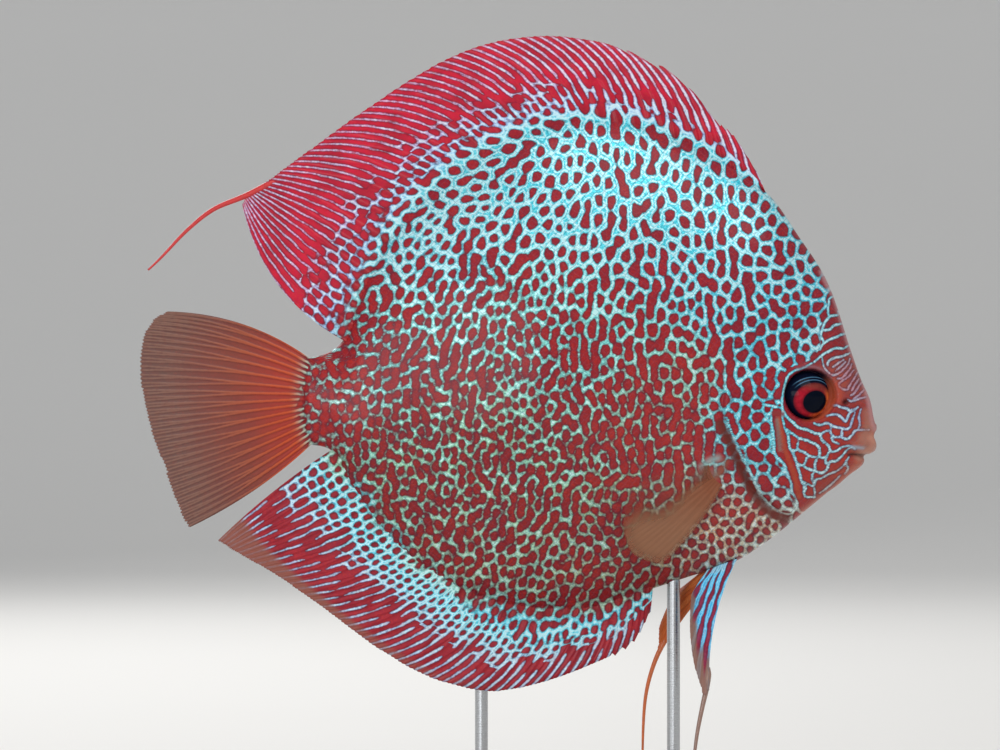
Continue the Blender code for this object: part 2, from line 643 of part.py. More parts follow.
def fin_mesh(stations, sheet, sweep):
    """A fin as one closed sheet whose rays stand up in its own surface on both faces.

    sweep(x, z, s, t) is the sheet's middle in y.
    """
    rays, rows = sheet["rays"], sheet["rows"]
    columns = 3 * rays - 2
    bm = bmesh.new()
    bmesh.ops.create_grid(bm, x_segments=columns - 1, y_segments=rows, size=0.5)
    bmesh.ops.triangulate(bm, faces=bm.faces, quad_method="FIXED")
    bmesh.ops.solidify(bm, geom=bm.faces[:], thickness=1.0)
    middle = sum(vert.co.z for vert in bm.verts) / len(bm.verts)
    for vert in bm.verts:
        column = round((vert.co.x + 0.5) * (columns - 1))
        row = round((vert.co.y + 0.5) * rows)
        face = -1 if vert.co.z < middle else 1
        number, place = divmod(column, 3)
        t = (number + (0, 0.22, 0.78)[place]) / (rays - 1)
        s = max(0, row - 1) / (rows - 1)
        crest = place == 0
        if row == 0:
            root = fin_point(stations, 0, t)
            away = root - fin_point(stations, 0.1, t)
            x, z = root + away / np.linalg.norm(away) * sheet["sink"]
        elif row == rows and crest and 0 < number < rays - 1:
            hard = number < sheet["spines"] or not sheet["spines"]
            x, z = fin_point(stations, 1 + sheet["teeth"] * (1 if hard else 0.25), t)
        else:
            x, z = fin_point(stations, s, t)
        near, far = sheet["ray" if crest else "membrane"]
        vert.co = (x, sweep(x, z, s, t) + face * (near + (far - near) * s), z)
    return bm


def wave(setting, s, t):
    swing, turn, start = setting
    return swing * s * s * math.sin(turn * t + start)


def cut_root(fin, grown_body):
    """Takes the body's room, grown by the gap, out of a fin's root."""
    return combine(fin, [copy_of(grown_body, "room")], "DIFFERENCE")


def thread(line, y_from, y_to):
    """A free fin filament along a line of the side view."""
    path = spline(line, THREAD_STEPS)
    share = np.linspace(0, 1, THREAD_STEPS)
    y = y_from + (y_to - y_from) * share
    taper = THREAD_TAPER[0] + (THREAD_TAPER[1] - THREAD_TAPER[0]) * share**0.8
    return tube("thread", np.column_stack([path[:, 0], y, path[:, 1]]), taper, (0, 1, 0), sides=6)


def make_median_fins(grown_body):
    def caudal_y(x, z, s, t):
        return wave(CAUDAL_WAVE, s**0.5, t) - CAUDAL_BEND * s * s

    def dorsal_y(x, z, s, t):
        return wave(DORSAL_WAVE, s, t)

    def anal_y(x, z, s, t):
        return wave(ANAL_WAVE, s, t)

    dorsal = add_object("dorsal_fin", fin_mesh(DORSAL, DORSAL_SHEET, dorsal_y))
    cut_root(dorsal, grown_body)
    combine(dorsal, [thread(DORSAL_THREAD, wave(DORSAL_WAVE, 1, 0.9), DORSAL_THREAD_END_Y)], "UNION")
    anal = add_object("anal_fin", fin_mesh(ANAL, ANAL_SHEET, anal_y))
    cut_root(anal, grown_body)
    caudal = add_object("tail_fin", fin_mesh(CAUDAL, CAUDAL_SHEET, caudal_y))
    cut_root(caudal, grown_body)


def make_pectoral(side, which, grown_body):
    near, far = PECTORAL_LIFT[which]
    sink = PECTORAL_SHEET["sink"]

    def pectoral_y(x, z, s, t):
        lift = (near + sink) * smoothstep(0.0, PECTORAL_HINGE, s) - sink + (far - near) * s**1.5
        return side * (float(half_width(x, z)) + lift)

    fin = add_object("pectoral_fin_" + which, fin_mesh(PECTORAL, PECTORAL_SHEET, pectoral_y))
    cut_root(fin, grown_body)


def make_pelvic(side, which, grown_body):
    def pelvic_y(x, z, s, t):
        return side * (PELVIC_ROOT_Y + PELVIC_SPLAY[which] * s * (0.55 + 0.45 * s))

    fin = add_object("pelvic_fin_" + which, fin_mesh(PELVIC[which], PELVIC_SHEET, pelvic_y))
    cut_root(fin, grown_body)
    start = pelvic_y(0, 0, PELVIC_THREAD_FROM, 0)
    end = pelvic_y(0, 0, 1.0, 0) + side * PELVIC_THREAD_SPLAY
    combine(fin, [thread(PELVIC_THREAD[which], start, end)], "UNION")


# Stand
def rod(name, at):
    """A steel rod from the base up into the body's room."""
    foot, top = BASE_THICK - FISH_HEIGHT + GAP, ROD_TOP
    bm = bmesh.new()
    bmesh.ops.create_cone(
        bm, cap_ends=True, segments=ROD_SIDES, radius1=ROD_RADIUS, radius2=ROD_RADIUS, depth=top - foot
    )
    bmesh.ops.translate(bm, verts=bm.verts, vec=(at[0], at[1], (top + foot) / 2))
    return add_object(name, bm)


def make_stand(grown_body):
    bm = bmesh.new()
    corners = []
    for cx, cy, start in ((1, 1, 0), (-1, 1, 90), (-1, -1, 180), (1, -1, 270)):
        for k in range(6):
            a = math.radians(start + 18 * k)
            x = cx * (BASE_LENGTH / 2 - BASE_CORNER) + BASE_CORNER * math.cos(a)
            y = cy * (BASE_WIDTH / 2 - BASE_CORNER) + BASE_CORNER * math.sin(a)
            corners.append((x, y))
    floor = -FISH_HEIGHT
    face = bm.faces.new([bm.verts.new((x, y, floor)) for x, y in corners])
    grown = bmesh.ops.extrude_face_region(bm, geom=[face])
    moved = [g for g in grown["geom"] if isinstance(g, bmesh.types.BMVert)]
    bmesh.ops.translate(bm, verts=moved, vec=(0, 0, BASE_THICK))
    top_edges = [e for e in bm.edges if all(v.co.z > floor + BASE_THICK / 2 for v in e.verts)]
    bmesh.ops.bevel(
        bm, geom=top_edges, offset=BASE_BEVEL, segments=2, profile=0.5, affect="EDGES", material=-1
    )
    add_object("stand_base", bm)
    cut_root(rod("stand_rod_front", FRONT_ROD_AT), grown_body)
    cut_root(rod("stand_rod_rear", REAR_ROD_AT), grown_body)


def main():
    clear_scene()
    head, lower_jaw, trunk, stalk = make_body()
    grown_body = add_object("grown_body", body_mesh(GAP))
    make_eyes(head)
    make_face(head, lower_jaw)
    for side, name in ((-1, "gill_cover_right"), (1, "gill_cover_left")):
        make_gill_cover(head, trunk, side, name)
    make_median_fins(grown_body)
    for side, which in ((-1, "right"), (1, "left")):
        make_pectoral(side, which, grown_body)
        make_pelvic(side, which, grown_body)
    make_stand(grown_body)
    bpy.data.objects.remove(grown_body)
    for obj in bpy.data.objects:
        dress(obj)


main()
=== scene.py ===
import math

import bmesh
import bpy
import numpy as np
from mathutils import Matrix, Vector


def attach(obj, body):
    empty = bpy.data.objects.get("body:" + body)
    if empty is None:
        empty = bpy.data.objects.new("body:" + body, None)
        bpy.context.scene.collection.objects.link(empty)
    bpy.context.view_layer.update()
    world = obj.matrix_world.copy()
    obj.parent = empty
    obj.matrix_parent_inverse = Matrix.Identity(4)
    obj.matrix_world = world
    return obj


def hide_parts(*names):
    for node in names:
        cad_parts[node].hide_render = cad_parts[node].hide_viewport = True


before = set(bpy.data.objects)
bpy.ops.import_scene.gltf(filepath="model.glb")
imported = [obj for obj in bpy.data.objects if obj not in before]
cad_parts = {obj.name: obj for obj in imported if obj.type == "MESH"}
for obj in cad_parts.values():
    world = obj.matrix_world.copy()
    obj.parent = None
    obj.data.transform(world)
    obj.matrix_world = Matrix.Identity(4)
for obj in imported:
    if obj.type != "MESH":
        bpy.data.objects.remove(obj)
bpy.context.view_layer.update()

print("frame loaded")

# All shapes are worked out in the fish's own millimetres: x to the snout, z up, the right flank towards -y
place = {"scale": 0.001, "lift": 113.0}


def toWorld(points):
    return (np.asarray(points, float) + (0.0, 0.0, place["lift"])) * place["scale"]


def readSmoothly(table, at):
    # a table read between its rows, without corners at the rows
    slope = np.gradient(table, axis=0)
    i = np.clip(at.astype(int), 0, len(table) - 2)
    u = (at - i)[:, None]
    row = (2 * u**3 - 3 * u**2 + 1) * table[i] + (u**3 - 2 * u**2 + u) * slope[i]
    return row + (3 * u**2 - 2 * u**3) * table[i + 1] + (u**3 - u**2) * slope[i + 1]


def spline(points, count):
    # smooth line through the points, evenly spaced between them
    table = np.array(points, float)
    return readSmoothly(table, np.linspace(0, len(table) - 1, count))


def smoothstep(a, b, x):
    u = np.clip((x - a) / (b - a), 0, 1)
    return u * u * (3 - 2 * u)


def mix(a, b, share):
    return a + (b - a) * share


def bell(x, width):
    return np.exp(-((x / width) ** 2))


def linear(r, g, b):
    # a screen colour (0 to 255) as the shader's linear one
    c = np.array((r, g, b)) / 255
    return np.where(c <= 0.04045, c / 12.92, ((c + 0.055) / 1.055) ** 2.4)


# body form
body = {
    "back": [(85.2, -15.0), (84.3, -12.4), (83.4, -8.0), (81.3, -3.2), (78.9, 3.6), (73.9, 18.4),
             (67.4, 29.0), (58.6, 40.6), (42.5, 51.4), (26.0, 56.4), (8.6, 55.6), (-6.3, 49.6),
             (-19.0, 40.2), (-28.2, 28.8), (-33.5, 17.2), (-36.8, 7.4), (-40.5, 3.2), (-46.6, 1.4)],
    "belly": [(85.2, -15.0), (84.6, -17.0), (84.2, -19.2), (81.6, -21.8), (78.4, -25.2), (74.2, -28.8),
              (67.2, -34.6), (60.2, -40.2), (52.3, -45.2), (42.0, -48.6), (31.6, -52.0), (16.7, -56.6),
              (-1.7, -55.2), (-17.8, -48.2), (-28.2, -39.0), (-35.6, -28.6), (-40.0, -20.0),
              (-46.6, -18.0)],
    "halfWidth": [(85.2, 2.2), (84.2, 3.6), (82.0, 5.2), (78.0, 7.2), (74.0, 8.8), (68.0, 10.6), (60.0, 12.6),
                  (50.0, 14.0), (36.0, 14.6), (18.0, 14.0), (0.0, 12.0), (-16.0, 9.0), (-30.0, 6.0),
                  (-40.0, 4.0), (-46.6, 1.9)],
    "centre": (26.0, -6.0), "aim": (-1.7, -2.3), "distance": 900.0,
    "axisShare": 0.47,  # where the body is widest, from belly to back
    "edges": (0.5, 0.74),  # round at the forehead, sharper under the fins
    "sharpening": {"back": (62, 44), "belly": (44, 26)}, "fullness": 2.2,
    "steps": {"rim": 240, "width": 160, "snout": 160, "turn": 720}, "calm": (22, 8),
    # the snout's finer profile, from the forehead round the lips to the throat
    "snout": [(84.9, -13.6), (84.95, -14.8), (84.5, -15.6), (84.3, -16.5), (84.7, -17.5), (84.9, -18.6),
              (84.5, -19.7), (83.5, -20.35), (82.4, -20.6), (81.9, -21.1), (82.1, -21.9), (81.7, -22.9),
              (80.6, -23.9), (79.0, -25.0), (77.6, -26.2), (76.0, -27.6), (74.2, -28.9)],
}
backLine = spline(body["back"], body["steps"]["rim"])[::-1]
bellyLine = spline(body["belly"], body["steps"]["rim"])[::-1]
widthLine = spline(body["halfWidth"], body["steps"]["width"])[::-1]


def asSeen(x, z, depth):
    # where a point standing out of the middle plane is seen on that plane from the photograph's place
    near = body["distance"] / (body["distance"] - depth)
    return body["aim"][0] + (x - body["aim"][0]) * near, body["aim"][1] + (z - body["aim"][1]) * near


def notAsSeen(x, z, depth):
    # the way back: where such a point stands, when it is seen at x, z
    near = (body["distance"] - depth) / body["distance"]
    return body["aim"][0] + (x - body["aim"][0]) * near, body["aim"][1] + (z - body["aim"][1]) * near


def halfWidth(x, z):
    # from the middle plane out to the flank
    top = np.interp(x, backLine[:, 0], backLine[:, 1])
    bottom = np.interp(x, bellyLine[:, 0], bellyLine[:, 1])
    axis = bottom + body["axisShare"] * (top - bottom)
    above = z > axis
    share = np.clip(np.where(above, (z - axis) / (top - axis), (axis - z) / (axis - bottom)), 0, 1)
    sharp = [smoothstep(*body["sharpening"][line], x) for line in ("back", "belly")]
    power = mix(*body["edges"], np.where(above, *sharp))
    return np.interp(x, widthLine[:, 0], widthLine[:, 1]) * (1 - share ** body["fullness"]) ** power


def rimRadius(rim):
    # an outline as its distance from the body's centre in each direction
    away = rim - np.array(body["centre"])
    angle, radius = np.arctan2(away[:, 1], away[:, 0]), np.hypot(away[:, 0], away[:, 1])
    order = np.argsort(angle)
    return angle[order], radius[order]


cadRim = rimRadius(np.vstack([backLine, bellyLine]))
snoutLine = spline(body["snout"], body["steps"]["snout"])
top = backLine[(backLine[:, 0] < snoutLine[0, 0]) & (backLine[:, 1] > snoutLine[0, 1])]
under = bellyLine[bellyLine[:, 0] < snoutLine[-1, 0]]
skinRim = rimRadius(np.vstack([top, snoutLine, under]))


def rimAt(rim, angle):
    return np.interp(angle, rim[0], rim[1], period=2 * math.pi)


def calmRim(rim, spread):
    # the same rim with its corners eased away
    steps = body["steps"]["turn"]
    angle = np.linspace(-math.pi, math.pi, steps, endpoint=False)
    window = bell(np.linspace(-3, 3, int(6 * spread) + 1), 1.0)
    eased = np.convolve(np.tile(rimAt(rim, angle), 3), window / window.sum(), mode="same")
    return angle, eased[steps:2 * steps]


innerRim, outerRim = [calmRim(cadRim, spread) for spread in body["calm"]]


def flankPoint(x, z, side):
    # a point on the flank and the way out of the flesh there
    step = 0.5
    along = (halfWidth(x + step, z) - halfWidth(x - step, z)) / (2 * step)
    up = (halfWidth(x, z + step) - halfWidth(x, z - step)) / (2 * step)
    return np.array((x, side * float(halfWidth(x, z)), z)), np.array(Vector((-along, side, -up)).normalized())


def lineDistance(x, z, line, closed=False):
    # distance to a line of the side view, where along it and on which side (left of its run is positive)
    pts = np.array(line, float)
    if closed:
        pts = np.vstack([pts, pts[:1]])
    best = np.full(x.shape, 1e9)
    where, side = np.zeros(x.shape), np.ones(x.shape)
    for n, (a, b) in enumerate(zip(pts, pts[1:])):
        d = b - a
        u = np.clip(((x - a[0]) * d[0] + (z - a[1]) * d[1]) / (d @ d), 0, 1)
        gap = np.hypot(x - a[0] - u * d[0], z - a[1] - u * d[1])
        cross = d[0] * (z - a[1]) - d[1] * (x - a[0])
        near = gap < best
        best = np.where(near, gap, best)
        where = np.where(near, (n + u) / (len(pts) - 1), where)
        side = np.where(near, np.sign(cross), side)
    return best, where, side


# fins: stations from front to rear, each with root, tip and how far the ray bows
dorsal = {
    "stations": [
        ((59.0, 40.4), (57.4, 44.4), 0.0), ((54.6, 44.4), (52.2, 52.6), 0.05),
        ((52.0, 46.4), (48.0, 56.2), 0.08), ((49.0, 48.2), (43.6, 61.8), 0.10),
        ((45.2, 50.2), (38.0, 66.8), 0.13), ((40.6, 52.2), (31.6, 70.0), 0.16),
        ((32.8, 54.8), (21.6, 74.3), 0.20), ((21.2, 56.7), (5.4, 75.6), 0.23),
        ((8.6, 55.6), (-12.0, 71.4), 0.22),
        ((-6.3, 49.6), (-31.6, 59.6), 0.20), ((-19.0, 40.2), (-47.4, 48.0), 0.17),
        ((-28.2, 28.8), (-56.4, 41.6), 0.09), ((-33.5, 17.2), (-59.8, 39.4), -0.06),
        ((-37.2, 5.4), (-61.0, 37.0), -0.23)],
    "rays": 40, "perRay": 14, "rows": 60, "sink": 2.2, "spines": 9, "teeth": 0.045, "fray": 0.012,
    "membrane": (0.95, 0.16), "crest": (0.34, 0.20), "wave": (0.9, 5.0, 0.6),
    "stripes": {"pitch": 1.75, "half": (0.34, 0.18), "bar": 3.2, "barHalf": 0.2, "barEnd": (0.1, 0.36),
                "broken": 0.36, "breaks": (0.3, 0.24), "ends": (1.25, 0.7)},
    "foot": (0.19, 0.08), "lobes": ((0.16, 0.262, 0.351, 0.423), 0.13, 0.6, 0.4),
    "thread": [(-52.0, 43.0), (-60.0, 39.0), (-67.4, 35.8), (-73.4, 31.0), (-78.6, 25.8), (-82.6, 21.8)],
    "threadY": (-0.5, -1.6), "threadTint": (196, 40, 40),
}
anal = {
    "stations": [
        ((33.4, -51.4), (33.0, -56.6), 0.0), ((30.0, -52.6), (28.8, -63.8), -0.06),
        ((24.6, -54.8), (20.6, -68.4), -0.10), ((16.7, -56.6), (8.6, -72.8), -0.15),
        ((7.6, -56.9), (-4.0, -75.0), -0.19), ((-1.7, -55.2), (-17.8, -71.8), -0.20),
        ((-10.2, -52.2), (-29.4, -65.4), -0.19), ((-17.8, -48.2), (-39.8, -57.8), -0.15),
        ((-24.4, -42.8), (-49.0, -51.2), -0.12), ((-30.6, -35.8), (-57.4, -45.8), -0.09),
        ((-35.6, -28.6), (-63.4, -42.6), -0.03), ((-40.6, -19.6), (-66.6, -40.4), 0.05)],
    "rays": 37, "perRay": 14, "rows": 56, "sink": 2.2, "spines": 6, "teeth": 0.045, "fray": 0.012,
    "membrane": (0.95, 0.16), "crest": (0.34, 0.20), "wave": (0.8, 4.4, 2.0),
    "stripes": {"pitch": 1.8, "half": (0.42, 0.17), "bar": 2.5, "barHalf": 0.3, "barEnd": (0.6, 0.38),
                "broken": 0.5, "breaks": (0.58, 0.18), "ends": (1.25, 0.75)},
    "foot": (0.34, -0.04),
}
tail = {
    "stations": [
        ((-45.0, 1.2), (-78.6, 12.3), 0.16), ((-45.6, -1.0), (-82.6, 9.0), 0.1),
        ((-46.2, -3.4), (-84.4, 3.0), 0.06),
        ((-46.6, -6.0), (-84.2, -5.0), 0.03), ((-46.6, -8.4), (-82.8, -11.6), 0.0),
        ((-46.6, -10.8), (-80.6, -18.4), -0.02), ((-46.4, -13.4), (-78.0, -25.4), -0.04),
        ((-45.8, -15.8), (-75.8, -31.8), -0.06), ((-44.8, -18.0), (-73.2, -37.4), -0.08)],
    "rays": 18, "perRay": 16, "rows": 110, "sink": 4.0, "spines": 0, "teeth": 0.02, "fray": 0.012,
    "membrane": (0.9, 0.14), "crest": (0.30, 0.16), "wave": (0.7, 5.5, 0.0), "bend": 2.4,
    "lines": (0.3, 0.2), "foot": (0.0, 0.0),
}


def finRows(stations, s, t):
    # side-view points of a fin and the way its rays run there; s from root to tip, t from front to rear
    table = np.array([(*root, *tip, bow) for root, tip, bow in stations], float)
    row = readSmoothly(table, t * (len(table) - 1))
    root, tip, bow = row[:, :2], row[:, 2:4], row[:, 4:]
    along = tip - root
    bend = (root + tip) / 2 + bow * np.column_stack([along[:, 1], -along[:, 0]])
    s = s[:, None]
    point = (1 - s) ** 2 * root + 2 * s * (1 - s) * bend + s * s * tip
    return point, 2 * (1 - s) * (bend - root) + 2 * s * (tip - bend)


# markings: red cells parted by bright lines, relaxed on a lattice of the side view
photoGrid = {"pitch": 0.23, "x": 507.5, "z": 365.0}  # reads places off the photograph's frame


def spot(px, py):
    return (px - photoGrid["x"]) * photoGrid["pitch"], (photoGrid["z"] - py) * photoGrid["pitch"]


markings = {
    "cell": 0.3, "x": (-72.0, 89.0), "z": (-80.0, 80.0), "seed": 3, "packing": 0.87, "relax": 6,
    # cells join along their length more than across it, up to so many in a group
    "joinAcross": 0.16, "joinAlong": 0.84, "group": 5,
    # how far a cell looks for its neighbours, in cell sizes, first alone and then in groups
    "searches": (1.9, 2.6),
    # the edges' own roughness: how often it is blurred, and its size
    "rough": (10, 0.018), "widen": 0.02,
    # where, reach, cells' lean (degrees), size, stretch, how often two join, half the line's share
    # of the size
    "zones": {
        "nape": (700, 215, 60, 97, 17, 1.4, 0.35, 0.13),
        "backCrest": (640, 160, 40, 105, 16.5, 1.7, 0.25, 0.14),
        "upperFlank": (610, 210, 50, 92, 16, 1.4, 0.35, 0.172),
        "upperRear": (540, 210, 50, 60, 15, 1.35, 0.25, 0.135),
        "dorsalFoot": (480, 170, 50, 10, 15.5, 1.6, 0.12, 0.155),
        "rearBack": (400, 260, 50, 50, 13.5, 1.5, 0.35, 0.135),
        "midUpper": (600, 270, 50, 88, 14.5, 1.4, 0.6, 0.102),
        "midUpperRear": (480, 300, 50, 80, 12.5, 1.45, 0.7, 0.097),
        "middle": (560, 350, 50, 88, 12.2, 1.45, 1.0, 0.08),
        "behindHead": (680, 330, 50, 92, 14, 1.4, 0.7, 0.086),
        "rear": (380, 350, 50, 70, 11.5, 1.4, 0.85, 0.064),
        "rearLow": (400, 440, 60, 95, 10.8, 1.4, 0.9, 0.076),
        "belly": (520, 450, 80, 85, 11.3, 1.45, 1.0, 0.08),
        "bellyFront": (640, 450, 60, 90, 11.8, 1.4, 0.85, 0.058),
        "analFoot": (560, 560, 60, 60, 11.5, 1.35, 0.5, 0.072),
        "behindPectoral": (622, 522, 40, 75, 11.4, 1.4, 0.6, 0.05),
        "breast": (690, 520, 50, 70, 11, 1.2, 0.2, 0.085),
        "throat": (740, 530, 30, 60, 10.5, 1.1, 0.15, 0.12),
        "forenape": (765, 255, 45, 95, 15, 1.25, 0.12, 0.10),
        "forehead": (800, 310, 40, 70, 14, 1.25, 0.12, 0.095),
        "gillCover": (755, 430, 35, 100, 13.5, 1.1, 0.1, 0.078),
        "gillCoverLow": (770, 480, 30, 100, 13.5, 1.1, 0.1, 0.085),
        "tailFoot": (325, 400, 30, 90, 10, 1.5, 0.8, 0.052),
    },
    # size, stretch, joining and line at the fin's foot and margin
    "fins": {"dorsal": ((12.5, 11), (1.9, 5.0), (0.3, 0.9), (0.10, 0.07)),
             "anal": ((13, 12.5), (1.6, 3.6), (0.2, 0.6), (0.14, 0.12))},
    # the face's own bright lines, and the part of the face that has no others
    "faceLines": {
        "eyeRim": [(812, 363), (803, 368), (794, 371), (787, 378), (783, 394), (782, 407), (787, 417),
                   (793, 422), (798, 427), (808, 430), (814, 433), (820, 434), (822, 440), (828, 445),
                   (831, 451), (836, 451), (842, 447), (850, 446), (855, 449)],
        "boneFront": [(782, 408), (783, 420), (785, 428), (788, 435), (790, 448), (793, 453), (796, 461),
                      (799, 470), (801, 479), (804, 486), (804, 494), (807, 497), (815, 497)],
        "boneRear": [(772, 406), (771, 420), (773, 430), (774, 442), (775, 454), (783, 463), (787, 472),
                     (791, 484), (792, 492), (796, 499)],
        "boneTop": [(762, 404), (772, 406), (782, 408)],
        "gillFreeEdge": [(727, 418), (733, 436), (741, 455), (752, 476), (758, 491), (768, 503), (777, 511),
                         (790, 514), (797, 505), (796, 499)],
        "cheekOne": [(785, 428), (793, 434), (799, 438), (806, 440), (813, 443), (818, 446), (820, 451),
                     (820, 457), (826, 457), (829, 452), (831, 451)],
        "cheekTwo": [(799, 438), (798, 449), (804, 452), (808, 455), (813, 457), (820, 457)],
        "cheekThree": [(791, 451), (798, 450)],
        "cheekFour": [(808, 455), (806, 461), (804, 466), (809, 469), (815, 471), (822, 473), (827, 469),
                      (830, 462), (836, 461), (841, 457), (847, 450), (851, 447)],
        "cheekFive": [(826, 457), (826, 463), (830, 463)],
        "cheekSix": [(798, 464), (804, 466)],
        "cheekSeven": [(817, 457), (815, 465), (816, 471)],
        "jowlOne": [(802, 481), (808, 484), (814, 486), (816, 480), (822, 478), (829, 474), (837, 471),
                    (844, 465), (849, 457)],
        "jowlTwo": [(815, 471), (812, 476), (814, 484)],
        "jowlThree": [(806, 485), (805, 492)],
        "jowlFour": [(814, 486), (815, 496)],
        "chinOne": [(820, 493), (827, 488), (834, 482), (841, 475)],
        "chinTwo": [(846, 461), (848, 469), (845, 474)],
        "underEyeOne": [(832, 405.5), (837, 405.5), (842, 407.5), (847, 408.5), (849.5, 410.5),
                        (855.5, 408.5)],
        "underEyeTwo": [(827, 416), (833, 414.5), (838, 415), (842, 418), (846, 421), (849, 414),
                        (853, 411), (858, 407)],
        "underEyeThree": [(814, 423), (820, 425), (827, 423), (833, 426), (840, 428), (846, 429),
                          (850, 427), (852, 421), (855, 413)],
        "underEyeFour": [(831, 426), (831, 433), (835, 437), (841, 437), (847, 439), (852, 435), (857, 430),
                         (869, 430)],
        "underEyeFive": [(842, 429), (842, 436)],
        "underEyeSix": [(821, 434), (826, 431), (831, 431)],
        "underEyeSeven": [(831, 433), (833, 441), (839, 444)],
        "noseOne": [(861, 409), (859, 417), (860, 424), (858, 430)],
        "foreheadOne": [(838, 311), (838.5, 314.5), (834.5, 315.5), (831, 316), (828, 318.5),
                        (824.5, 323.5), (823, 327), (822, 330), (821, 335.5), (823, 340.5), (823.5, 343)],
        "foreheadTwo": [(845, 323), (838, 324.5), (833.5, 326), (829.5, 329.5), (824.5, 330), (822, 328)],
        "foreheadThree": [(849, 333), (842, 334.5), (836, 337), (830, 339.5), (824.5, 343), (822, 345.5),
                          (820, 350)],
        "foreheadFour": [(851, 344), (844.5, 348), (840.5, 348.5), (836, 348), (832, 349.5), (830.5, 351),
                         (825.5, 353), (822, 355.5), (818.5, 358.5), (814, 362)],
        "foreheadFive": [(850, 353), (843.5, 356), (838, 357), (833, 358.5), (829.5, 360.5), (827.5, 363.5),
                         (828, 365.5)],
        "foreheadSix": [(834, 296), (829.5, 299), (829, 304), (828, 309), (829, 317)],
        "browOne": [(822, 357), (823, 363), (824.5, 368), (827, 371), (831, 374.5), (834.5, 375),
                    (839.5, 373), (843.5, 369.5), (848, 364.5), (849.5, 360.5), (850, 358.5)],
        "browTwo": [(833, 367), (838, 363.5), (843.5, 360)],
        "browThree": [(835.5, 371), (840.5, 367), (845.5, 362)],
        "browFour": [(837, 378.5), (842, 378), (846, 373.5), (849.5, 369.5), (852, 364)],
        "browFive": [(854, 370), (849.5, 376), (846, 378.5), (842, 381), (838.5, 384.5), (841, 388),
                     (844.5, 389.5), (848, 389.5), (849.5, 386), (852, 382), (854.5, 378), (858, 372)],
        "browSix": [(852, 390.5), (854.5, 385.5), (859, 379)],
        "browSeven": [(851, 395.5), (854.5, 393), (858.5, 387), (862, 382)],
        "browEight": [(853.5, 398.5), (858.5, 395.5), (864, 390)],
        "browNine": [(848, 399.5), (850.5, 401), (854.5, 400.5), (860, 398.5), (866, 397)],
    },
    "faceLine": 0.255, "lineTaper": (0.75, 0.4),
    "fineLines": ("brow", "underEyeSix", "underEyeSeven", "jowl", "nose", "chin"), "fine": 0.8,
    # the box of the side view that holds the face, and how its own lines begin at the outline
    "faceBox": ((48, 89), (-40, 18)), "faceEdge": 0.3, "slopeStep": 0.04,
    "face": [(782, 409), (781, 382), (788, 369), (803, 364), (816, 359), (822, 343), (821, 327), (828, 316),
             (829, 298), (836, 294), (860, 330), (885, 430), (872, 470), (840, 500), (812, 516), (797, 502),
             (790, 480), (784, 465), (774, 452), (772, 420), (772, 408)],
    # bright lines with less glitter: where, reach, share
    "matt": [(848, 372, 17, 0.92), (858, 388, 15, 0.92), (862, 420, 12, 0.75), (838, 486, 15, 0.65)],
    # where, reach, the bright lines' colour, the cells' colour
    "tints": {
        "upper": (610, 190, 70, (70, 206, 224), (146, 18, 36)),
        "upperRear": (430, 235, 50, (92, 200, 216), (152, 22, 36)),
        "nape": (735, 235, 50, (66, 208, 230), (140, 18, 38)),
        "forehead": (800, 290, 40, (56, 204, 230), (132, 22, 38)),
        "middle": (560, 340, 60, (124, 220, 210), (150, 16, 24)),
        "middleRear": (420, 340, 50, (132, 212, 204), (154, 20, 26)),
        "belly": (500, 450, 80, (146, 204, 164), (134, 22, 22)),
        "bellyFront": (640, 430, 50, (166, 206, 172), (156, 34, 32)),
        "behindPectoral": (625, 520, 45, (156, 172, 126), (142, 34, 32)),
        "bellyLow": (480, 540, 50, (176, 214, 176), (140, 28, 28)),
        "bellyLowFront": (600, 575, 35, (184, 204, 164), (144, 30, 30)),
        "analFootOne": (352, 506, 14, (88, 206, 222), (150, 28, 36)),
        "analFootTwo": (384, 552, 17, (84, 208, 226), (148, 26, 36)),
        "analFootThree": (430, 596, 19, (76, 208, 230), (144, 26, 38)),
        "analFootFour": (500, 626, 21, (72, 210, 232), (142, 26, 38)),
        "analFootFive": (570, 634, 19, (84, 208, 224), (142, 26, 36)),
        "breast": (710, 530, 50, (206, 170, 134), (150, 46, 42)),
        "rear": (330, 390, 30, (164, 206, 190), (166, 32, 28)),
        "gillCover": (757, 440, 38, (78, 214, 236), (146, 22, 36)),
        "cheek": (812, 455, 24, (140, 184, 204), (166, 44, 34)),
        "underEye": (845, 418, 16, (148, 168, 208), (156, 48, 38)),
        "brow": (850, 380, 20, (192, 136, 150), (154, 76, 64)),
        "foreheadEdge": (838, 330, 20, (150, 208, 222), (142, 40, 42)),
        "snout": (872, 440, 15, (190, 160, 168), (160, 100, 78)),
        "chin": (835, 485, 14, (182, 136, 128), (168, 74, 50)),
    },
}
cell = markings["cell"]
gridX = np.arange(markings["x"][0], markings["x"][1], cell)
gridZ = np.arange(markings["z"][0], markings["z"][1], cell)
latticeX, latticeZ = np.meshgrid(gridX, gridZ)


def latticeIndex(x, z):
    # the lattice point nearest to each place
    i = np.clip(((x - gridX[0]) / cell).round().astype(int), 0, len(gridX) - 1)
    j = np.clip(((z - gridZ[0]) / cell).round().astype(int), 0, len(gridZ) - 1)
    return j, i


def readLattice(field, x, z):
    # a field's value at each place, evenly between the lattice points
    i = np.clip((x - gridX[0]) / cell, 0, len(gridX) - 1.001)
    j = np.clip((z - gridZ[0]) / cell, 0, len(gridZ) - 1.001)
    i0, j0 = i.astype(int), j.astype(int)
    u, v = i - i0, j - j0
    if field.ndim == 3:
        u, v = u[:, None], v[:, None]
    low = mix(field[j0, i0], field[j0, i0 + 1], u)
    return mix(low, mix(field[j0 + 1, i0], field[j0 + 1, i0 + 1], u), v)


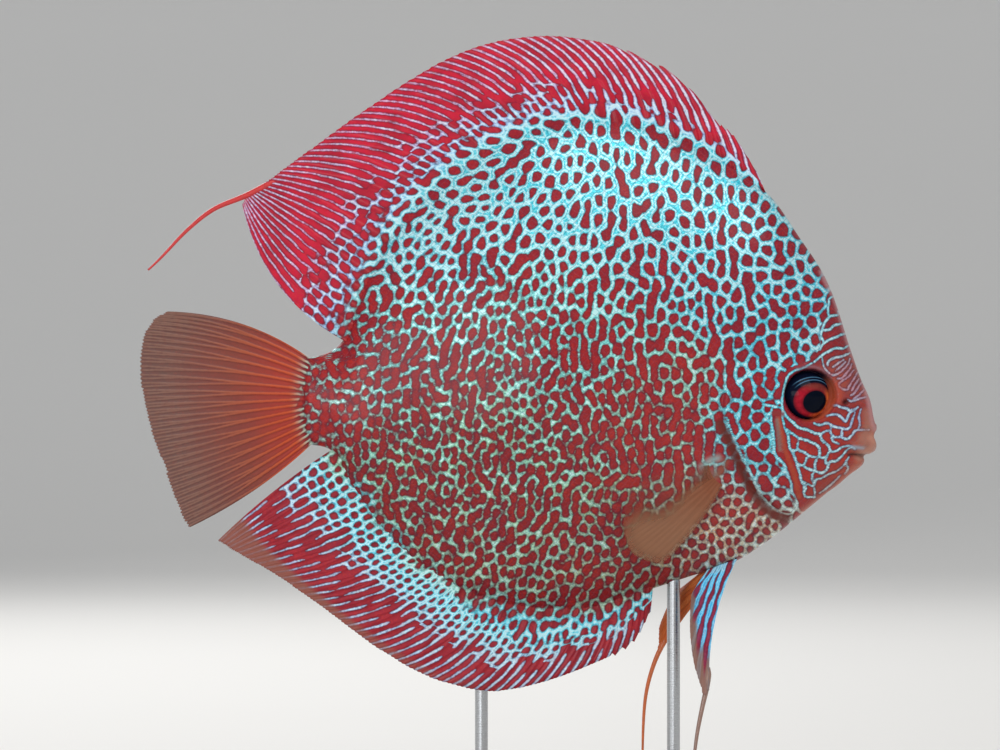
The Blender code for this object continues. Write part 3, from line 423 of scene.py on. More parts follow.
def regionWeights(table):
    # how much each named region counts at each lattice point; they add up to one
    weights = []
    for px, py, reach, *_ in table.values():
        cx, cz = spot(px, py)
        away = (latticeX - cx) ** 2 + (latticeZ - cz) ** 2
        weights.append(np.exp(-away / (reach * photoGrid["pitch"]) ** 2) + 1e-9 / (away + 1e-3))
    weights = np.array(weights)
    return weights / weights.sum(0)


def blur(field, times):
    for _ in range(times):
        near = np.roll(field, 1, 0) + np.roll(field, -1, 0) + np.roll(field, 1, 1) + np.roll(field, -1, 1)
        field = (field * 2 + near) / 6
    return field


def layOutCells():
    # the cells' size, stretch, joining, line and lean at each lattice point
    zones = markings["zones"]
    weights = regionWeights(zones)
    columns = [np.tensordot([row[n] for row in zones.values()], weights, 1) for n in (4, 5, 6, 7)]
    size, stretch, joining, line = columns[0] * photoGrid["pitch"], *columns[1:]
    lean = np.radians([row[3] for row in zones.values()]) * 2
    across, up = np.tensordot(np.cos(lean), weights, 1), np.tensordot(np.sin(lean), weights, 1)
    for fin, name in ((dorsal, "dorsal"), (anal, "anal")):
        s, t = [v.ravel() for v in np.meshgrid(np.linspace(0, 1.02, 300), np.linspace(0, 1, 800))]
        point, run = finRows(fin["stations"], s, t)
        at = latticeIndex(point[:, 0], point[:, 1])
        turn, far = np.zeros_like(size), np.zeros_like(size)
        turn[at], far[at] = np.arctan2(run[:, 1], run[:, 0]), s
        taken = (far > 0).astype(float)
        share = taken * np.clip(far / 0.25, 0, 1)
        across, up = mix(across, np.cos(2 * turn), share), mix(up, np.sin(2 * turn), share)
        values = [mix(low, high, far) for low, high in markings["fins"][name]]
        size = mix(size, values[0] * photoGrid["pitch"], share)
        stretch, joining = mix(stretch, values[1], share), mix(joining, values[2], share)
        line = mix(line, values[3], share)
    return size, stretch, joining, line, np.arctan2(up, across) / 2


def nearestCell(seeds, layout, reach, groups=None, own=None):
    # distance to the nearest seed in cell sizes, and which; with groups, the nearest of another group
    size, stretch, _, _, lean = layout
    at = latticeIndex(seeds[:, 0], seeds[:, 1])
    sizes, longs, leans = size[at], np.sqrt(stretch[at]), lean[at]
    cos, sin = np.cos(leans), np.sin(leans)
    spanX = reach * sizes * np.hypot(longs * cos, sin / longs)
    spanZ = reach * sizes * np.hypot(longs * sin, cos / longs)
    nearest = np.full(size.shape, 9.0, np.float32)
    which = np.zeros(size.shape, np.int32)
    for n, (x, z) in enumerate(seeds):
        i0, i1 = np.searchsorted(gridX, (x - spanX[n], x + spanX[n]))
        j0, j1 = np.searchsorted(gridZ, (z - spanZ[n], z + spanZ[n]))
        dx, dz = gridX[None, i0:i1] - x, gridZ[j0:j1, None] - z
        a = (dx * cos[n] + dz * sin[n]) / (longs[n] * sizes[n])
        b = (dz * cos[n] - dx * sin[n]) * (longs[n] / sizes[n])
        d = np.sqrt(a * a + b * b)
        window = nearest[j0:j1, i0:i1]
        closer = d < window
        if groups is not None:
            closer &= own[j0:j1, i0:i1] != groups[n]
        window[closer] = d[closer]
        which[j0:j1, i0:i1][closer] = n
    return nearest, which


def evenPicks(crowd, shares):
    # places taken at even steps of the crowding along a folded path, so that no part is thin or packed
    j, i = np.indices(crowd.shape)
    fold = sum(((i >> bit & 1) << 2 * bit) + ((j >> bit & 1) << 2 * bit + 1) for bit in range(10))
    path = np.argsort(fold.ravel())
    run = np.cumsum(crowd.ravel()[path])
    return path[np.searchsorted(run, shares * run[-1])]


def growCells():
    random = np.random.default_rng(markings["seed"])
    layout = layOutCells()
    size, _, joining, line, lean = layout
    alone, grouped = markings["searches"]
    crowd = 1 / size**2
    count = int(crowd.sum() * cell**2 / markings["packing"])
    pick = evenPicks(crowd, (np.arange(count) + random.random(count)) / count)
    seeds = np.column_stack([latticeX.ravel()[pick], latticeZ.ravel()[pick]])
    for _ in range(markings["relax"]):
        _, which = nearestCell(seeds, layout, alone)
        which = which.ravel()
        total = np.bincount(which, crowd.ravel(), count) + 1e-12
        seeds = np.column_stack([np.bincount(which, (crowd * axis).ravel(), count) / total
                                 for axis in (latticeX, latticeZ)])
    near, which = nearestCell(seeds, layout, alone)
    pairs = np.vstack([np.column_stack([which[:, 1:].ravel(), which[:, :-1].ravel()]),
                       np.column_stack([which[1:].ravel(), which[:-1].ravel()])])
    pairs = np.unique(np.sort(pairs[pairs[:, 0] != pairs[:, 1]], 1), axis=0)
    step = seeds[pairs[:, 1]] - seeds[pairs[:, 0]]
    at = latticeIndex(*((seeds[pairs[:, 1]] + seeds[pairs[:, 0]]) / 2).T)
    along = np.abs(step[:, 0] * np.cos(lean[at]) + step[:, 1] * np.sin(lean[at])) / np.hypot(*step.T)
    joinHere = joining[at] * (markings["joinAcross"] + markings["joinAlong"] * along**4)
    joined = random.random(len(pairs)) < joinHere
    groups, links = np.arange(count), np.zeros(count, int)
    for a, b in random.permutation(pairs[joined]):
        mine, other = groups == groups[a], groups == groups[b]
        tooMany = mine.sum() + other.sum() > markings["group"]
        if groups[a] == groups[b] or max(links[a], links[b]) > 1 or tooMany:
            continue
        # chains only, so that no broad blots form
        if (mine[pairs].any(1) & other[pairs].any(1)).sum() == 1:
            groups[other] = groups[a]
            links[[a, b]] += 1
    away, _ = nearestCell(seeds, layout, grouped, groups, groups[which])
    rough = blur(random.normal(size=size.shape), markings["rough"][0])
    field = blur((away - near) / 2, 2) + markings["rough"][1] * rough / rough.std()
    return (field - line - markings["widen"]) * size  # millimetres inside a cell's edge


def faceLineField(x, z):
    # millimetres outside the nearest of the face's own lines
    nearest = np.full(x.shape, 9.0)
    for name, line in markings["faceLines"].items():
        gap, along, _ = lineDistance(x, z, spline([spot(*p) for p in line], 4 * len(line)))
        half = markings["faceLine"] * (markings["fine"] if name.startswith(markings["fineLines"]) else 1.0)
        end, swell = markings["lineTaper"]
        nearest = np.minimum(nearest, gap - half * (end + swell * np.sin(np.pi * along)))
    return nearest


def drawFace(x, z, level, slopeX, slopeZ):
    # the face's cells are parted by its own lines
    (rear, front), (low, high) = markings["faceBox"]
    near = (x > rear) & (x < front) & (z > low) & (z < high)
    fx, fz = x[near], z[near]
    outline = [spot(*p) for p in markings["face"]]
    edge, _, _ = lineDistance(fx, fz, outline, closed=True)
    soft, step = markings["faceEdge"], markings["slopeStep"]
    own = smoothstep(-soft, soft, np.where(isInside(fx, fz, outline), edge, -edge))
    lines = faceLineField(fx, fz)
    under = mix(level[near], np.maximum(level[near], 1.0), own)
    inLine = lines < under
    level[near] = np.minimum(under, lines)
    slopeX[near] = np.where(inLine, (faceLineField(fx + step, fz) - lines) / step, slopeX[near] * (1 - own))
    slopeZ[near] = np.where(inLine, (faceLineField(fx, fz + step) - lines) / step, slopeZ[near] * (1 - own))


def isInside(x, z, outline):
    # whether each point lies inside the outline
    inside = np.zeros(x.shape, bool)
    for (ax, az), (bx, bz) in zip(outline, outline[1:] + outline[:1]):
        crosses = (az > z) != (bz > z)
        with np.errstate(divide="ignore", invalid="ignore"):
            inside ^= crosses & (x < (bx - ax) * (z - az) / (bz - az) + ax)
    return inside


def tintField(column):
    # one of the regions' colours at every lattice point
    colours = np.array([linear(*row[column]) for row in markings["tints"].values()]).T
    return np.moveaxis(np.tensordot(colours, tintWeights, 1), 0, -1)


cells = growCells()
cellSlopes = np.gradient(cells, cell)
tintWeights = regionWeights(markings["tints"])
brightTint, cellTint = [tintField(column) for column in (3, 4)]
print("markings grown")


# mesh and node helpers
def newPiece(name, mesh, material, replaced=()):
    obj = bpy.data.objects.new(name, mesh)
    bpy.context.scene.collection.objects.link(obj)
    mesh.materials.append(material)
    mesh.shade_smooth()
    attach(obj, "root")
    if replaced:
        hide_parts(*replaced)
    return obj


def meshFrom(bm, name):
    mesh = bpy.data.meshes.new(name)
    bm.to_mesh(mesh)
    bm.free()
    return mesh


def readPoints(mesh):
    points = np.empty(len(mesh.vertices) * 3)
    mesh.vertices.foreach_get("co", points)
    return points.reshape(-1, 3)


def setPoints(mesh, points):
    mesh.vertices.foreach_set("co", toWorld(points).ravel())
    mesh.update()


def keepValues(mesh, name, values):
    kind, key = ("FLOAT", "value") if values.ndim == 1 else ("FLOAT_VECTOR", "vector")
    mesh.attributes.new(name, kind, "POINT").data.foreach_set(key, np.asarray(values, float).ravel())


def bakeMap(mesh, u, v):
    # the piece's own map, from one value of u and v for each vertex
    corners = np.empty(len(mesh.loops), int)
    mesh.loops.foreach_get("vertex_index", corners)
    layer = mesh.uv_layers.new(name="OFBake")
    layer.data.foreach_set("uv", np.column_stack([u[corners], v[corners]]).ravel())


def keepMarkings(mesh, level, slopeX=None, slopeZ=None, x=None, z=None):
    # the markings' field with half its slope, so that it stays crisp between vertices
    if slopeX is None:
        slopeX = slopeZ = x = z = np.zeros_like(level)
    keepValues(mesh, "markLevel", level - 0.5 * (slopeX * x + slopeZ * z))
    keepValues(mesh, "markSlope", 0.5 * np.column_stack([slopeX, slopeZ, np.zeros_like(level)]))


def readMarkings(tree, where):
    rise = vectorMaths(tree, "DOT_PRODUCT", attribute(tree, "markSlope", "Vector"), where, "Value")
    return maths(tree, "ADD", attribute(tree, "markLevel"), rise)


def faceOutwards(mesh, welded=False):
    bm = bmesh.new()
    bm.from_mesh(mesh)
    if welded:  # two halves that meet in the middle plane
        bmesh.ops.remove_doubles(bm, verts=[v for v in bm.verts if abs(v.co.y) < 1e-8], dist=1e-7)
    bmesh.ops.recalc_face_normals(bm, faces=bm.faces)
    if bm.calc_volume(signed=True) < 0:
        bmesh.ops.reverse_faces(bm, faces=bm.faces)
    bm.to_mesh(mesh)
    bm.free()


def feed(tree, node, sockets):
    # another node's output is linked to an input, and any other value is set on it
    for name, value in sockets.items():
        if isinstance(value, bpy.types.NodeSocket):
            tree.links.new(value, node.inputs[name])
        else:
            node.inputs[name].default_value = value


def addNode(tree, kind, sockets=(), **settings):
    made = tree.nodes.new(kind)
    for name, value in settings.items():
        setattr(made, name, value)
    feed(tree, made, dict(sockets))
    return made


def maths(tree, operation, a, b=0.0):
    return addNode(tree, "ShaderNodeMath", {0: a, 1: b}, operation=operation).outputs[0]


def vectorMaths(tree, operation, a, b, output="Vector"):
    return addNode(tree, "ShaderNodeVectorMath", {0: a, 1: b}, operation=operation).outputs[output]


def mixColour(tree, share, a, b):
    a, b = [v if isinstance(v, bpy.types.NodeSocket) else (*v, 1) for v in (a, b)]
    return addNode(tree, "ShaderNodeMix", {0: share, 6: a, 7: b}, data_type="RGBA").outputs[2]


def mapRange(tree, value, low, high, toLow=0.0, toHigh=1.0):
    limits = {"From Min": low, "From Max": high, "To Min": toLow, "To Max": toHigh}
    return addNode(tree, "ShaderNodeMapRange", {"Value": value, **limits},
                   interpolation_type="SMOOTHSTEP").outputs[0]


def noise(tree, where, scale, detail, dimensions="3D", **more):
    return addNode(tree, "ShaderNodeTexNoise", {"Vector": where, "Scale": scale, "Detail": detail, **more},
                   noise_dimensions=dimensions).outputs["Fac"]


def stretched(tree, where, scale, turn=(0, 0, 0)):
    return addNode(tree, "ShaderNodeMapping", {"Vector": where, "Rotation": turn, "Scale": scale}).outputs[0]


def bump(tree, height, strength, distance, **more):
    return addNode(tree, "ShaderNodeBump",
                   {"Strength": strength, "Distance": distance, "Height": height, **more}).outputs[0]


def overlay(tree, colour, sources, layers, strength=None):
    # colours laid over one another: where each comes from, between which values, with what shares
    for source, span, shares, tint in layers:
        share = mapRange(tree, sources[source], *span, *shares)
        if strength:
            share = maths(tree, "MULTIPLY", share, strength)
        colour = mixColour(tree, share, colour, linear(*tint))
    return colour


def attribute(tree, name, output="Fac"):
    return addNode(tree, "ShaderNodeAttribute", attribute_name=name).outputs[output]


def newMaterial(name):
    made = bpy.data.materials.new(name)
    made.use_nodes = True
    return made, made.node_tree, made.node_tree.nodes["Principled BSDF"]


def newGroup(name, inputs, outputs):
    group = bpy.data.node_groups.new(name, "ShaderNodeTree")
    for title, kind, value in inputs:
        socket = group.interface.new_socket(title, in_out="INPUT", socket_type="NodeSocket" + kind)
        if value is not None:
            socket.default_value = value
    for title, kind in outputs:
        group.interface.new_socket(title, in_out="OUTPUT", socket_type="NodeSocket" + kind)
    start = group.nodes.new("NodeGroupInput")
    end = group.nodes.new("NodeGroupOutput")
    return group, start.outputs, end.inputs


def useGroup(tree, group, **sockets):
    return addNode(tree, "ShaderNodeGroup", sockets, node_tree=group).outputs


# shared effects
markLook = {
    "softness": 0.14, "raggedness": 0.12, "wander": (1.1, 4.0), "patches": 0.16, "grain": 1.9,
    "rimShift": 0.26, "relief": -0.5,
    # source, between which values, shares there, colour: cells darken towards their edge
    "cell": [("grain", (0.42, 0.7), (0.0, 0.4), (196, 50, 34)),
             ("patches", (0.4, 0.62), (0.0, 0.35), (108, 8, 34)),
             ("edge", (0.42, 0.0), (0.0, 0.75), (66, 4, 36))],
    # lines glitter and turn pale beside the cells
    "bright": [("patches", (0.35, 0.65), (0.0, 0.22), (110, 224, 228)),
               ("grain", (0.34, 0.48), (0.6, 0.0), (22, 118, 146)),
               ("grain", (0.54, 0.68), (0.0, 0.6), (206, 246, 244)),
               ("rim", (0.02, 0.18), (0.62, 0.0), (222, 248, 248))],
}
scaleLook = {"size": 1.7, "turn": 40, "stretch": (1.0, 1.1, 1.0), "randomness": 0.35, "lean": 0.5,
             "rim": 0.16, "edge": 0.13}


def makeMarkingGroup():
    # red cells and bright lines from the stored field, with ragged edges and paler, darker patches
    group, given, result = newGroup(
        "spotMarkings",
        [("Field", "Float", 0.0), ("Bright", "Color", None), ("Cell", "Color", None),
         ("Place", "Vector", None), ("Softness", "Float", markLook["softness"]),
         ("Raggedness", "Float", markLook["raggedness"]), ("Glitter", "Float", 1.0)],
        [("Colour", "Color"), ("Bright mask", "Float"), ("Relief", "Float")])
    fineness, reach = markLook["wander"]
    fine = noise(group, given["Place"], fineness, 2.0)
    wander = maths(group, "MULTIPLY", maths(group, "SUBTRACT", fine, 0.5), given["Raggedness"])
    edge = maths(group, "ADD", given["Field"], maths(group, "MULTIPLY", wander, reach))
    inCell = mapRange(group, edge, maths(group, "MULTIPLY", given["Softness"], -1.0), given["Softness"])
    sources = {
        "edge": edge,
        "patches": noise(group, given["Place"], markLook["patches"], 3.0),
        "grain": noise(group, given["Place"], markLook["grain"], 3.0),
        "rim": maths(group, "ABSOLUTE", maths(group, "ADD", edge, markLook["rimShift"])),
    }
    inside = overlay(group, given["Cell"], sources, markLook["cell"])
    outside = overlay(group, given["Bright"], sources, markLook["bright"], given["Glitter"])
    relief = maths(group, "ADD", maths(group, "MULTIPLY", inCell, markLook["relief"]), sources["grain"])
    group.links.new(mixColour(group, inCell, outside, inside), result["Colour"])
    group.links.new(maths(group, "SUBTRACT", 1.0, inCell), result["Bright mask"])
    group.links.new(relief, result["Relief"])
    return group


def makeScaleGroup():
    # small overlapping scales: rounded free edges towards the tail
    group, given, result = newGroup(
        "fishScales", [("Place", "Vector", None), ("Size", "Float", scaleLook["size"])],
        [("Height", "Float"), ("Edge", "Float")])
    turn = (0, 0, math.radians(scaleLook["turn"]))
    where = stretched(group, given["Place"], scaleLook["stretch"], turn)
    row = {"Vector": where, "Scale": maths(group, "DIVIDE", 1.0, given["Size"]),
           "Randomness": scaleLook["randomness"]}
    dome, rim = [addNode(group, "ShaderNodeTexVoronoi", row, feature=feature, voronoi_dimensions="2D").outputs
                 for feature in ("F1", "DISTANCE_TO_EDGE")]
    apart = vectorMaths(group, "SUBTRACT", dome["Position"], where)
    lean = maths(group, "MULTIPLY", addNode(group, "ShaderNodeSeparateXYZ", {0: apart}).outputs["X"],
                 scaleLook["lean"])
    height = maths(group, "ADD", lean, mapRange(group, rim[0], 0.0, scaleLook["rim"]))
    group.links.new(height, result["Height"])
    group.links.new(mapRange(group, rim[0], 0.0, scaleLook["edge"], 1.0, 0.0), result["Edge"])
    return group


spotMarkings = makeMarkingGroup()
fishScales = makeScaleGroup()


# skin
skin = {
    "cells": 221, "crowding": 0.17,  # faces, and how much finer they are at the head
    # reach, width and depth of the eye's socket and of its raised rim
    "eye": (69.7, -6.9), "socket": (5.75, 0.75, 3.6), "orbit": (6.7, 0.9, 0.42),
    # the socket's colour, painted shadow behind together with the dark band through the eye, orange skin in
    # front: where it fades out, its two colours, and where one turns to the other
    "socketShade": (6.1, 5.6), "socketTints": ((14, 20, 44), (216, 112, 78)), "socketFront": (4.5, 0.6),
    "gillCover": [(62.4, -4.0), (61.9, -9.5), (61.9, -15.5), (62.9, -21.9), (64.7, -28.2), (66.6, -32.6),
                  (64.4, -34.2), (60.0, -31.8), (55.9, -27.7), (52.9, -21.9), (50.6, -15.2), (49.6, -9.4),
                  (52.0, -5.6), (57.0, -3.2)],
    "gillEdge": [(49.8, -6.2), (49.5, -9.4), (50.5, -15.2), (52.9, -21.9), (55.9, -27.7), (60.0, -31.8),
                 (65.0, -34.4)],
    "cheekEdge": [(61.3, -10.0), (62.0, -13.6), (62.9, -18.0), (64.3, -22.2), (65.7, -26.5), (67.2, -31.4)],
    # heights and widths of the gill cover's plate and crease, and of the cheek bone's ridge and crease
    "gillPlate": (0.55, 0.8), "gillGroove": (0.75, 0.6, 2.2), "gillNear": ((9.0, 2.0), (-2.0, -6.0), (12, 4)),
    "cheekRidge": (0.4, 0.8, 0.9), "cheekGroove": (0.45, 0.4, 0.4),
    "mouth": [(78.1, -20.6), (79.6, -20.5), (81.4, -20.7), (83.6, -20.8)],
    "mouthGroove": (1.0, 0.32), "mouthFrom": (77.6, 79.0), "mouthShade": (0.85, 0.3),
    # each lip's line, height and width
    "lips": {"upper": ([(78.4, -19.2), (80.2, -18.5), (82.4, -18.2), (85.0, -18.3)], 0.75, 1.15),
             "lower": ([(78.2, -21.9), (79.6, -22.5), (81.0, -22.8), (82.6, -22.6)], 0.6, 0.85)},
    "lipsFrom": (76.6, 79.2),
    # the fold behind the mouth's corner: place, radius, width, height and where it fades
    "mouthCorner": ((77.8, -20.6), 1.9, 0.8, 0.35, (78.6, 76.6)),
    # place, width and depth; then its rim's radius, width and height
    "nostril": (77.8, -8.6, 0.62, 1.1), "nostrilRim": (1.05, 0.42, 0.28), "nostrilStretch": 0.9,
    # plain patches over the markings: line on the photograph's frame, half width, softness, colour, share
    "patches": {
        "boneBand": ([(779, 419), (782, 433), (785, 449), (790, 463), (795, 478), (799, 497)], 2.0, 1.6,
                     (174, 74, 46), 0.85),
        "boneStrip": ([(777, 420), (778, 430), (779, 440), (780, 450)], 1.2, 2.4, (112, 150, 138), 0.65),
        "boneHead": ([(774, 413), (782, 414)], 2.6, 1.6, (138, 48, 46), 0.9),
        "gillCrease": ([(720, 424), (729, 441), (742, 470), (750, 487), (759, 501), (771, 513), (786, 519)],
                       4.6, 2.0, (104, 42, 34), 0.93),
        "finShade": ([(699, 478), (714, 473)], 5.0, 5.0, (122, 104, 98), 0.6),
        "finPit": ([(702, 467), (710, 461), (718, 458)], 3.0, 3.5, (140, 188, 186), 0.6),
        "finRoot": ([(726, 461), (722, 470), (712, 482)], 2.6, 4.0, (134, 88, 64), 0.7),
        "chin": ([(804, 512), (814, 505), (826, 497), (842, 484), (858, 466)], 4.4, 3.6, (178, 96, 72), 0.7),
        "lips": ([(860, 456), (868, 452), (874, 445), (872, 438)], 4.6, 3.4, (184, 128, 108), 0.85),
        "lipPatch": ([(852, 447), (863, 448)], 1.6, 1.6, (150, 178, 196), 0.7),
        "snoutEdge": ([(822, 272), (829, 287), (836, 300), (850, 345), (862, 375), (869, 400), (873, 425),
                       (878, 431)], 2.6, 2.4, (190, 142, 146), 0.7),
        "nose": ([(866, 412), (868, 428), (863, 438), (866, 444)], 3.5, 4.0, (160, 112, 98), 0.6),
        "eyeRimTop": ([(797, 369), (810, 366.5), (822, 370), (830, 378)], 1.4, 1.6, (138, 98, 108), 0.7),
        "eyeFront": ([(837, 385), (841, 394), (838, 401)], 3.0, 3.0, (176, 70, 50), 0.7),
        "eyeCorner": ([(833, 398), (829, 408), (818, 417)], 1.6, 2.0, (220, 116, 64), 0.85),
        "underEye": ([(804, 421), (818, 419), (830, 419), (839, 422)], 2.4, 1.6, (150, 46, 28), 0.6),
    },
    "lateralLine": [(53.0, 12.0), (40.0, 22.0), (24.0, 25.0), (8.0, 22.0), (-8.0, 14.0), (-22.0, 4.0),
                    (-32.0, -4.0), (-46.0, -8.0)],
    "lateralGroove": (0.10, 0.45), "swelling": 0.16,
    "flatRim": (1.0, 0.985), "thinnest": 0.05,
}


def paintPatches(x, z):
    pigment, covered = np.zeros((len(x), 3)), np.zeros(len(x))
    for line, reach, soft, colour, share in skin["patches"].values():
        gap = lineDistance(x, z, spline([spot(*p) for p in line], 30))[0] / photoGrid["pitch"]
        here = share * smoothstep(reach + soft, reach - soft, gap)
        pigment = mix(pigment, np.array(linear(*colour)), here[:, None])
        covered = mix(covered, 1.0, here)
    return pigment / np.maximum(covered, 1e-6)[:, None], covered


def squareToDisc(a, b):
    # an even map from a square to a disc
    wide = np.abs(a) > np.abs(b)
    with np.errstate(divide="ignore", invalid="ignore"):
        angle = np.where(wide, np.pi / 4 * (b / a) + np.where(a > 0, 0.0, np.pi),
                         np.pi / 2 - np.pi / 4 * (a / b) + np.where(b > 0, 0.0, np.pi))
    return np.where(wide, np.abs(a), np.abs(b)), np.nan_to_num(angle)


def eyeDistance(x, z):
    return np.hypot(x - skin["eye"][0], z - skin["eye"][1])


def nostrilDistance(x, z):
    return np.hypot((x - skin["nostril"][0]) * skin["nostrilStretch"], z - skin["nostril"][1])


def mouthLine(x, z, width):
    # one in the mouth's line, fading beside it and behind its corner
    groove, _, _ = lineDistance(x, z, spline(skin["mouth"], 20))
    return bell(groove, width) * smoothstep(*skin["mouthFrom"], x)


def fleshRelief(x, z, share):
    # how far the skin stands out of the plain flank, mm
    relief = np.zeros_like(x)
    # gill cover: raised plate, its free edge over a dark crease
    edge, _, side = lineDistance(x, z, spline(skin["gillEdge"], 40))
    cover, _, _ = lineDistance(x, z, spline(skin["gillCover"] + skin["gillCover"][:1], 60))
    around, below, inwards = skin["gillNear"]
    height, rise = skin["gillPlate"]
    near = smoothstep(*around, cover) * smoothstep(*below, z)
    plate = np.where(side > 0, smoothstep(-0.1, rise, edge), 0.0) * smoothstep(*inwards, edge)
    relief += height * near * plate
    depth, width, sharper = skin["gillGroove"]
    relief -= depth * bell(edge * np.where(side > 0, sharper, 1.0), width)
    # edge of the cheek's bone
    ridge, along, side = lineDistance(x, z, spline(skin["cheekEdge"], 30))
    ends = smoothstep(0.0, 0.12, along) * smoothstep(1.0, 0.9, along)
    height, width, shift = skin["cheekRidge"]
    depth, narrow, back = skin["cheekGroove"]
    raised = height * bell(ridge - shift * (side < 0), width)
    relief += ends * (raised - depth * bell(ridge + back * (side < 0), narrow))
    # eye socket and its rim
    radius = eyeDistance(x, z)
    reach, width, depth = skin["socket"]
    relief -= depth * smoothstep(reach + width / 2, reach - width / 2, radius)
    reach, width, height = skin["orbit"]
    relief += height * bell(radius - reach, width)
    # lips and the mouth's groove
    depth, width = skin["mouthGroove"]
    relief -= depth * mouthLine(x, z, width)
    for line, height, width in skin["lips"].values():
        roll, _, _ = lineDistance(x, z, spline(line, 20))
        relief += height * bell(roll, width) * smoothstep(*skin["lipsFrom"], x)
    (cornerX, cornerZ), reach, width, height, fade = skin["mouthCorner"]
    corner = np.hypot(x - cornerX, z - cornerZ)
    relief += height * bell(corner - reach, width) * smoothstep(*fade, x)
    # nostril: a pit in a low rim
    reach, width, height = skin["nostrilRim"]
    hole = nostrilDistance(x, z)
    relief += height * bell(hole - reach, width) - skin["nostril"][3] * bell(hole, skin["nostril"][2])
    # lateral line and the flesh's gentle swelling
    line, _, _ = lineDistance(x, z, spline(skin["lateralLine"], 60))
    depth, width = skin["lateralGroove"]
    relief -= depth * bell(line, width)
    relief += skin["swelling"] * np.sin(0.21 * x + 0.3 * np.sin(0.13 * z)) * np.sin(0.17 * z + 1.0)
    return relief * smoothstep(*skin["flatRim"], share)


def makeSkin():
    n = skin["cells"]
    bm = bmesh.new()
    bmesh.ops.create_grid(bm, x_segments=n, y_segments=n, size=1.0)
    # diagonals run outwards in the square's corner cells, so that no face lies flat along the rim
    corner = 2 - 4 / n - 1e-6
    for face in bm.faces[:]:
        ring = list(face.verts)
        if sum(min(abs(v.co[axis]) for v in ring) for axis in (0, 1)) <= corner:
            continue
        outer = max(ring, key=lambda v: abs(v.co.x) + abs(v.co.y))
        bmesh.utils.face_split(face, outer, ring[(ring.index(outer) + 2) % 4])
    bmesh.ops.mirror(bm, geom=bm.verts[:] + bm.edges[:] + bm.faces[:], matrix=Matrix.Translation((0, 0, 0)),
                     merge_dist=-1, axis="Z")
    half = len(bm.verts) // 2
    mesh = meshFrom(bm, "skin")
    square = readPoints(mesh)
    right = np.arange(len(square)) < half
    a, b = square[:, 0], square[:, 1]
    rho, angle = squareToDisc(a + skin["crowding"] * (1 - a * a), b)
    turn = (angle + np.pi) % (2 * np.pi) - np.pi
    cx, cz = body["centre"]
    eased = mix(rimAt(innerRim, turn), rimAt(outerRim, turn), rho**3)
    plain = rho * mix(eased, rimAt(cadRim, turn), rho**12)
    own = plain + (rimAt(skinRim, turn) - rimAt(cadRim, turn)) * rho**4 * smoothstep(0.7, 1.0, rho)
    cadX, cadZ = cx + plain * np.cos(angle), cz + plain * np.sin(angle)
    x, z = cx + own * np.cos(angle), cz + own * np.sin(angle)
    rim = rho > 1 - 1e-6
    y = np.where(rim, 0.0, halfWidth(cadX, cadZ))
    px, pz = asSeen(x, z, y)
    y = np.maximum(y + fleshRelief(px, pz, rho), np.where(rim, 0.0, skin["thinnest"]))
    points = np.column_stack([x, np.where(right, -y, y), z])
    x, z = px, pz  # markings lie where the photograph shows them
    setPoints(mesh, points)
    keepValues(mesh, "place2", np.column_stack([x, z, np.zeros_like(x)]))
    level, slopeZ, slopeX = [readLattice(field, x, z) for field in (cells, *cellSlopes)]
    drawFace(x, z, level, slopeX, slopeZ)
    keepMarkings(mesh, level, slopeX, slopeZ, x, z)
    keepValues(mesh, "brightTint", readLattice(brightTint, x, z))
    keepValues(mesh, "cellTint", readLattice(cellTint, x, z))
    shine = np.ones_like(x)
    for seenX, seenZ, reach, share in markings["matt"]:
        mattX, mattZ = spot(seenX, seenZ)
        shine *= 1 - share * bell(np.hypot(x - mattX, z - mattZ), reach * photoGrid["pitch"])
    keepValues(mesh, "shine", shine)
    pigment, covered = paintPatches(x, z)
    keepValues(mesh, "pigment", pigment)
    keepValues(mesh, "covered", covered)
    # painted shade in the mouth's groove and the nostril's pit, and painted shadow in the eye's socket
    dark, width = skin["mouthShade"]
    creaseShade = np.maximum(dark * mouthLine(x, z, width), bell(nostrilDistance(x, z), skin["nostril"][2]))
    keepValues(mesh, "creaseShade", creaseShade)
    # the eye's socket: painted shadow, navy behind where the dark band through the eye also runs, orange skin
    # in front
    keepValues(mesh, "socket", smoothstep(*skin["socketShade"], eyeDistance(x, z)))
    reach, slant = skin["socketFront"]
    front = smoothstep(0.0, reach, (x - skin["eye"][0]) - (z - skin["eye"][1]) * slant)
    behind, ahead = [linear(*tint) for tint in skin["socketTints"]]
    keepValues(mesh, "socketTint", mix(behind, ahead, front[:, None]))
    bakeMap(mesh, (a + 1) / 2, (b + 1) / 2)
    faceOutwards(mesh, welded=True)
    return mesh


skinLook = {
    "scaleSize": 1.35, "scaleEdge": (34, 108, 140), "scaleShare": (0.08, 0.42),
    # painted shade in the mouth's groove and the nostril's pit: its colour and share
    "creaseShade": (58, 22, 24), "creaseShadeShare": 0.9,
    # from the red cells to the bright lines
    "roughness": (0.46, 0.30), "metal": (0.0, 0.25),
    "surface": {"Coat Weight": 0.14, "Coat Roughness": 0.12, "Specular IOR Level": 0.2},
    "scaleBump": (0.3, 0.00016), "markBump": (0.35, 0.00012),
}


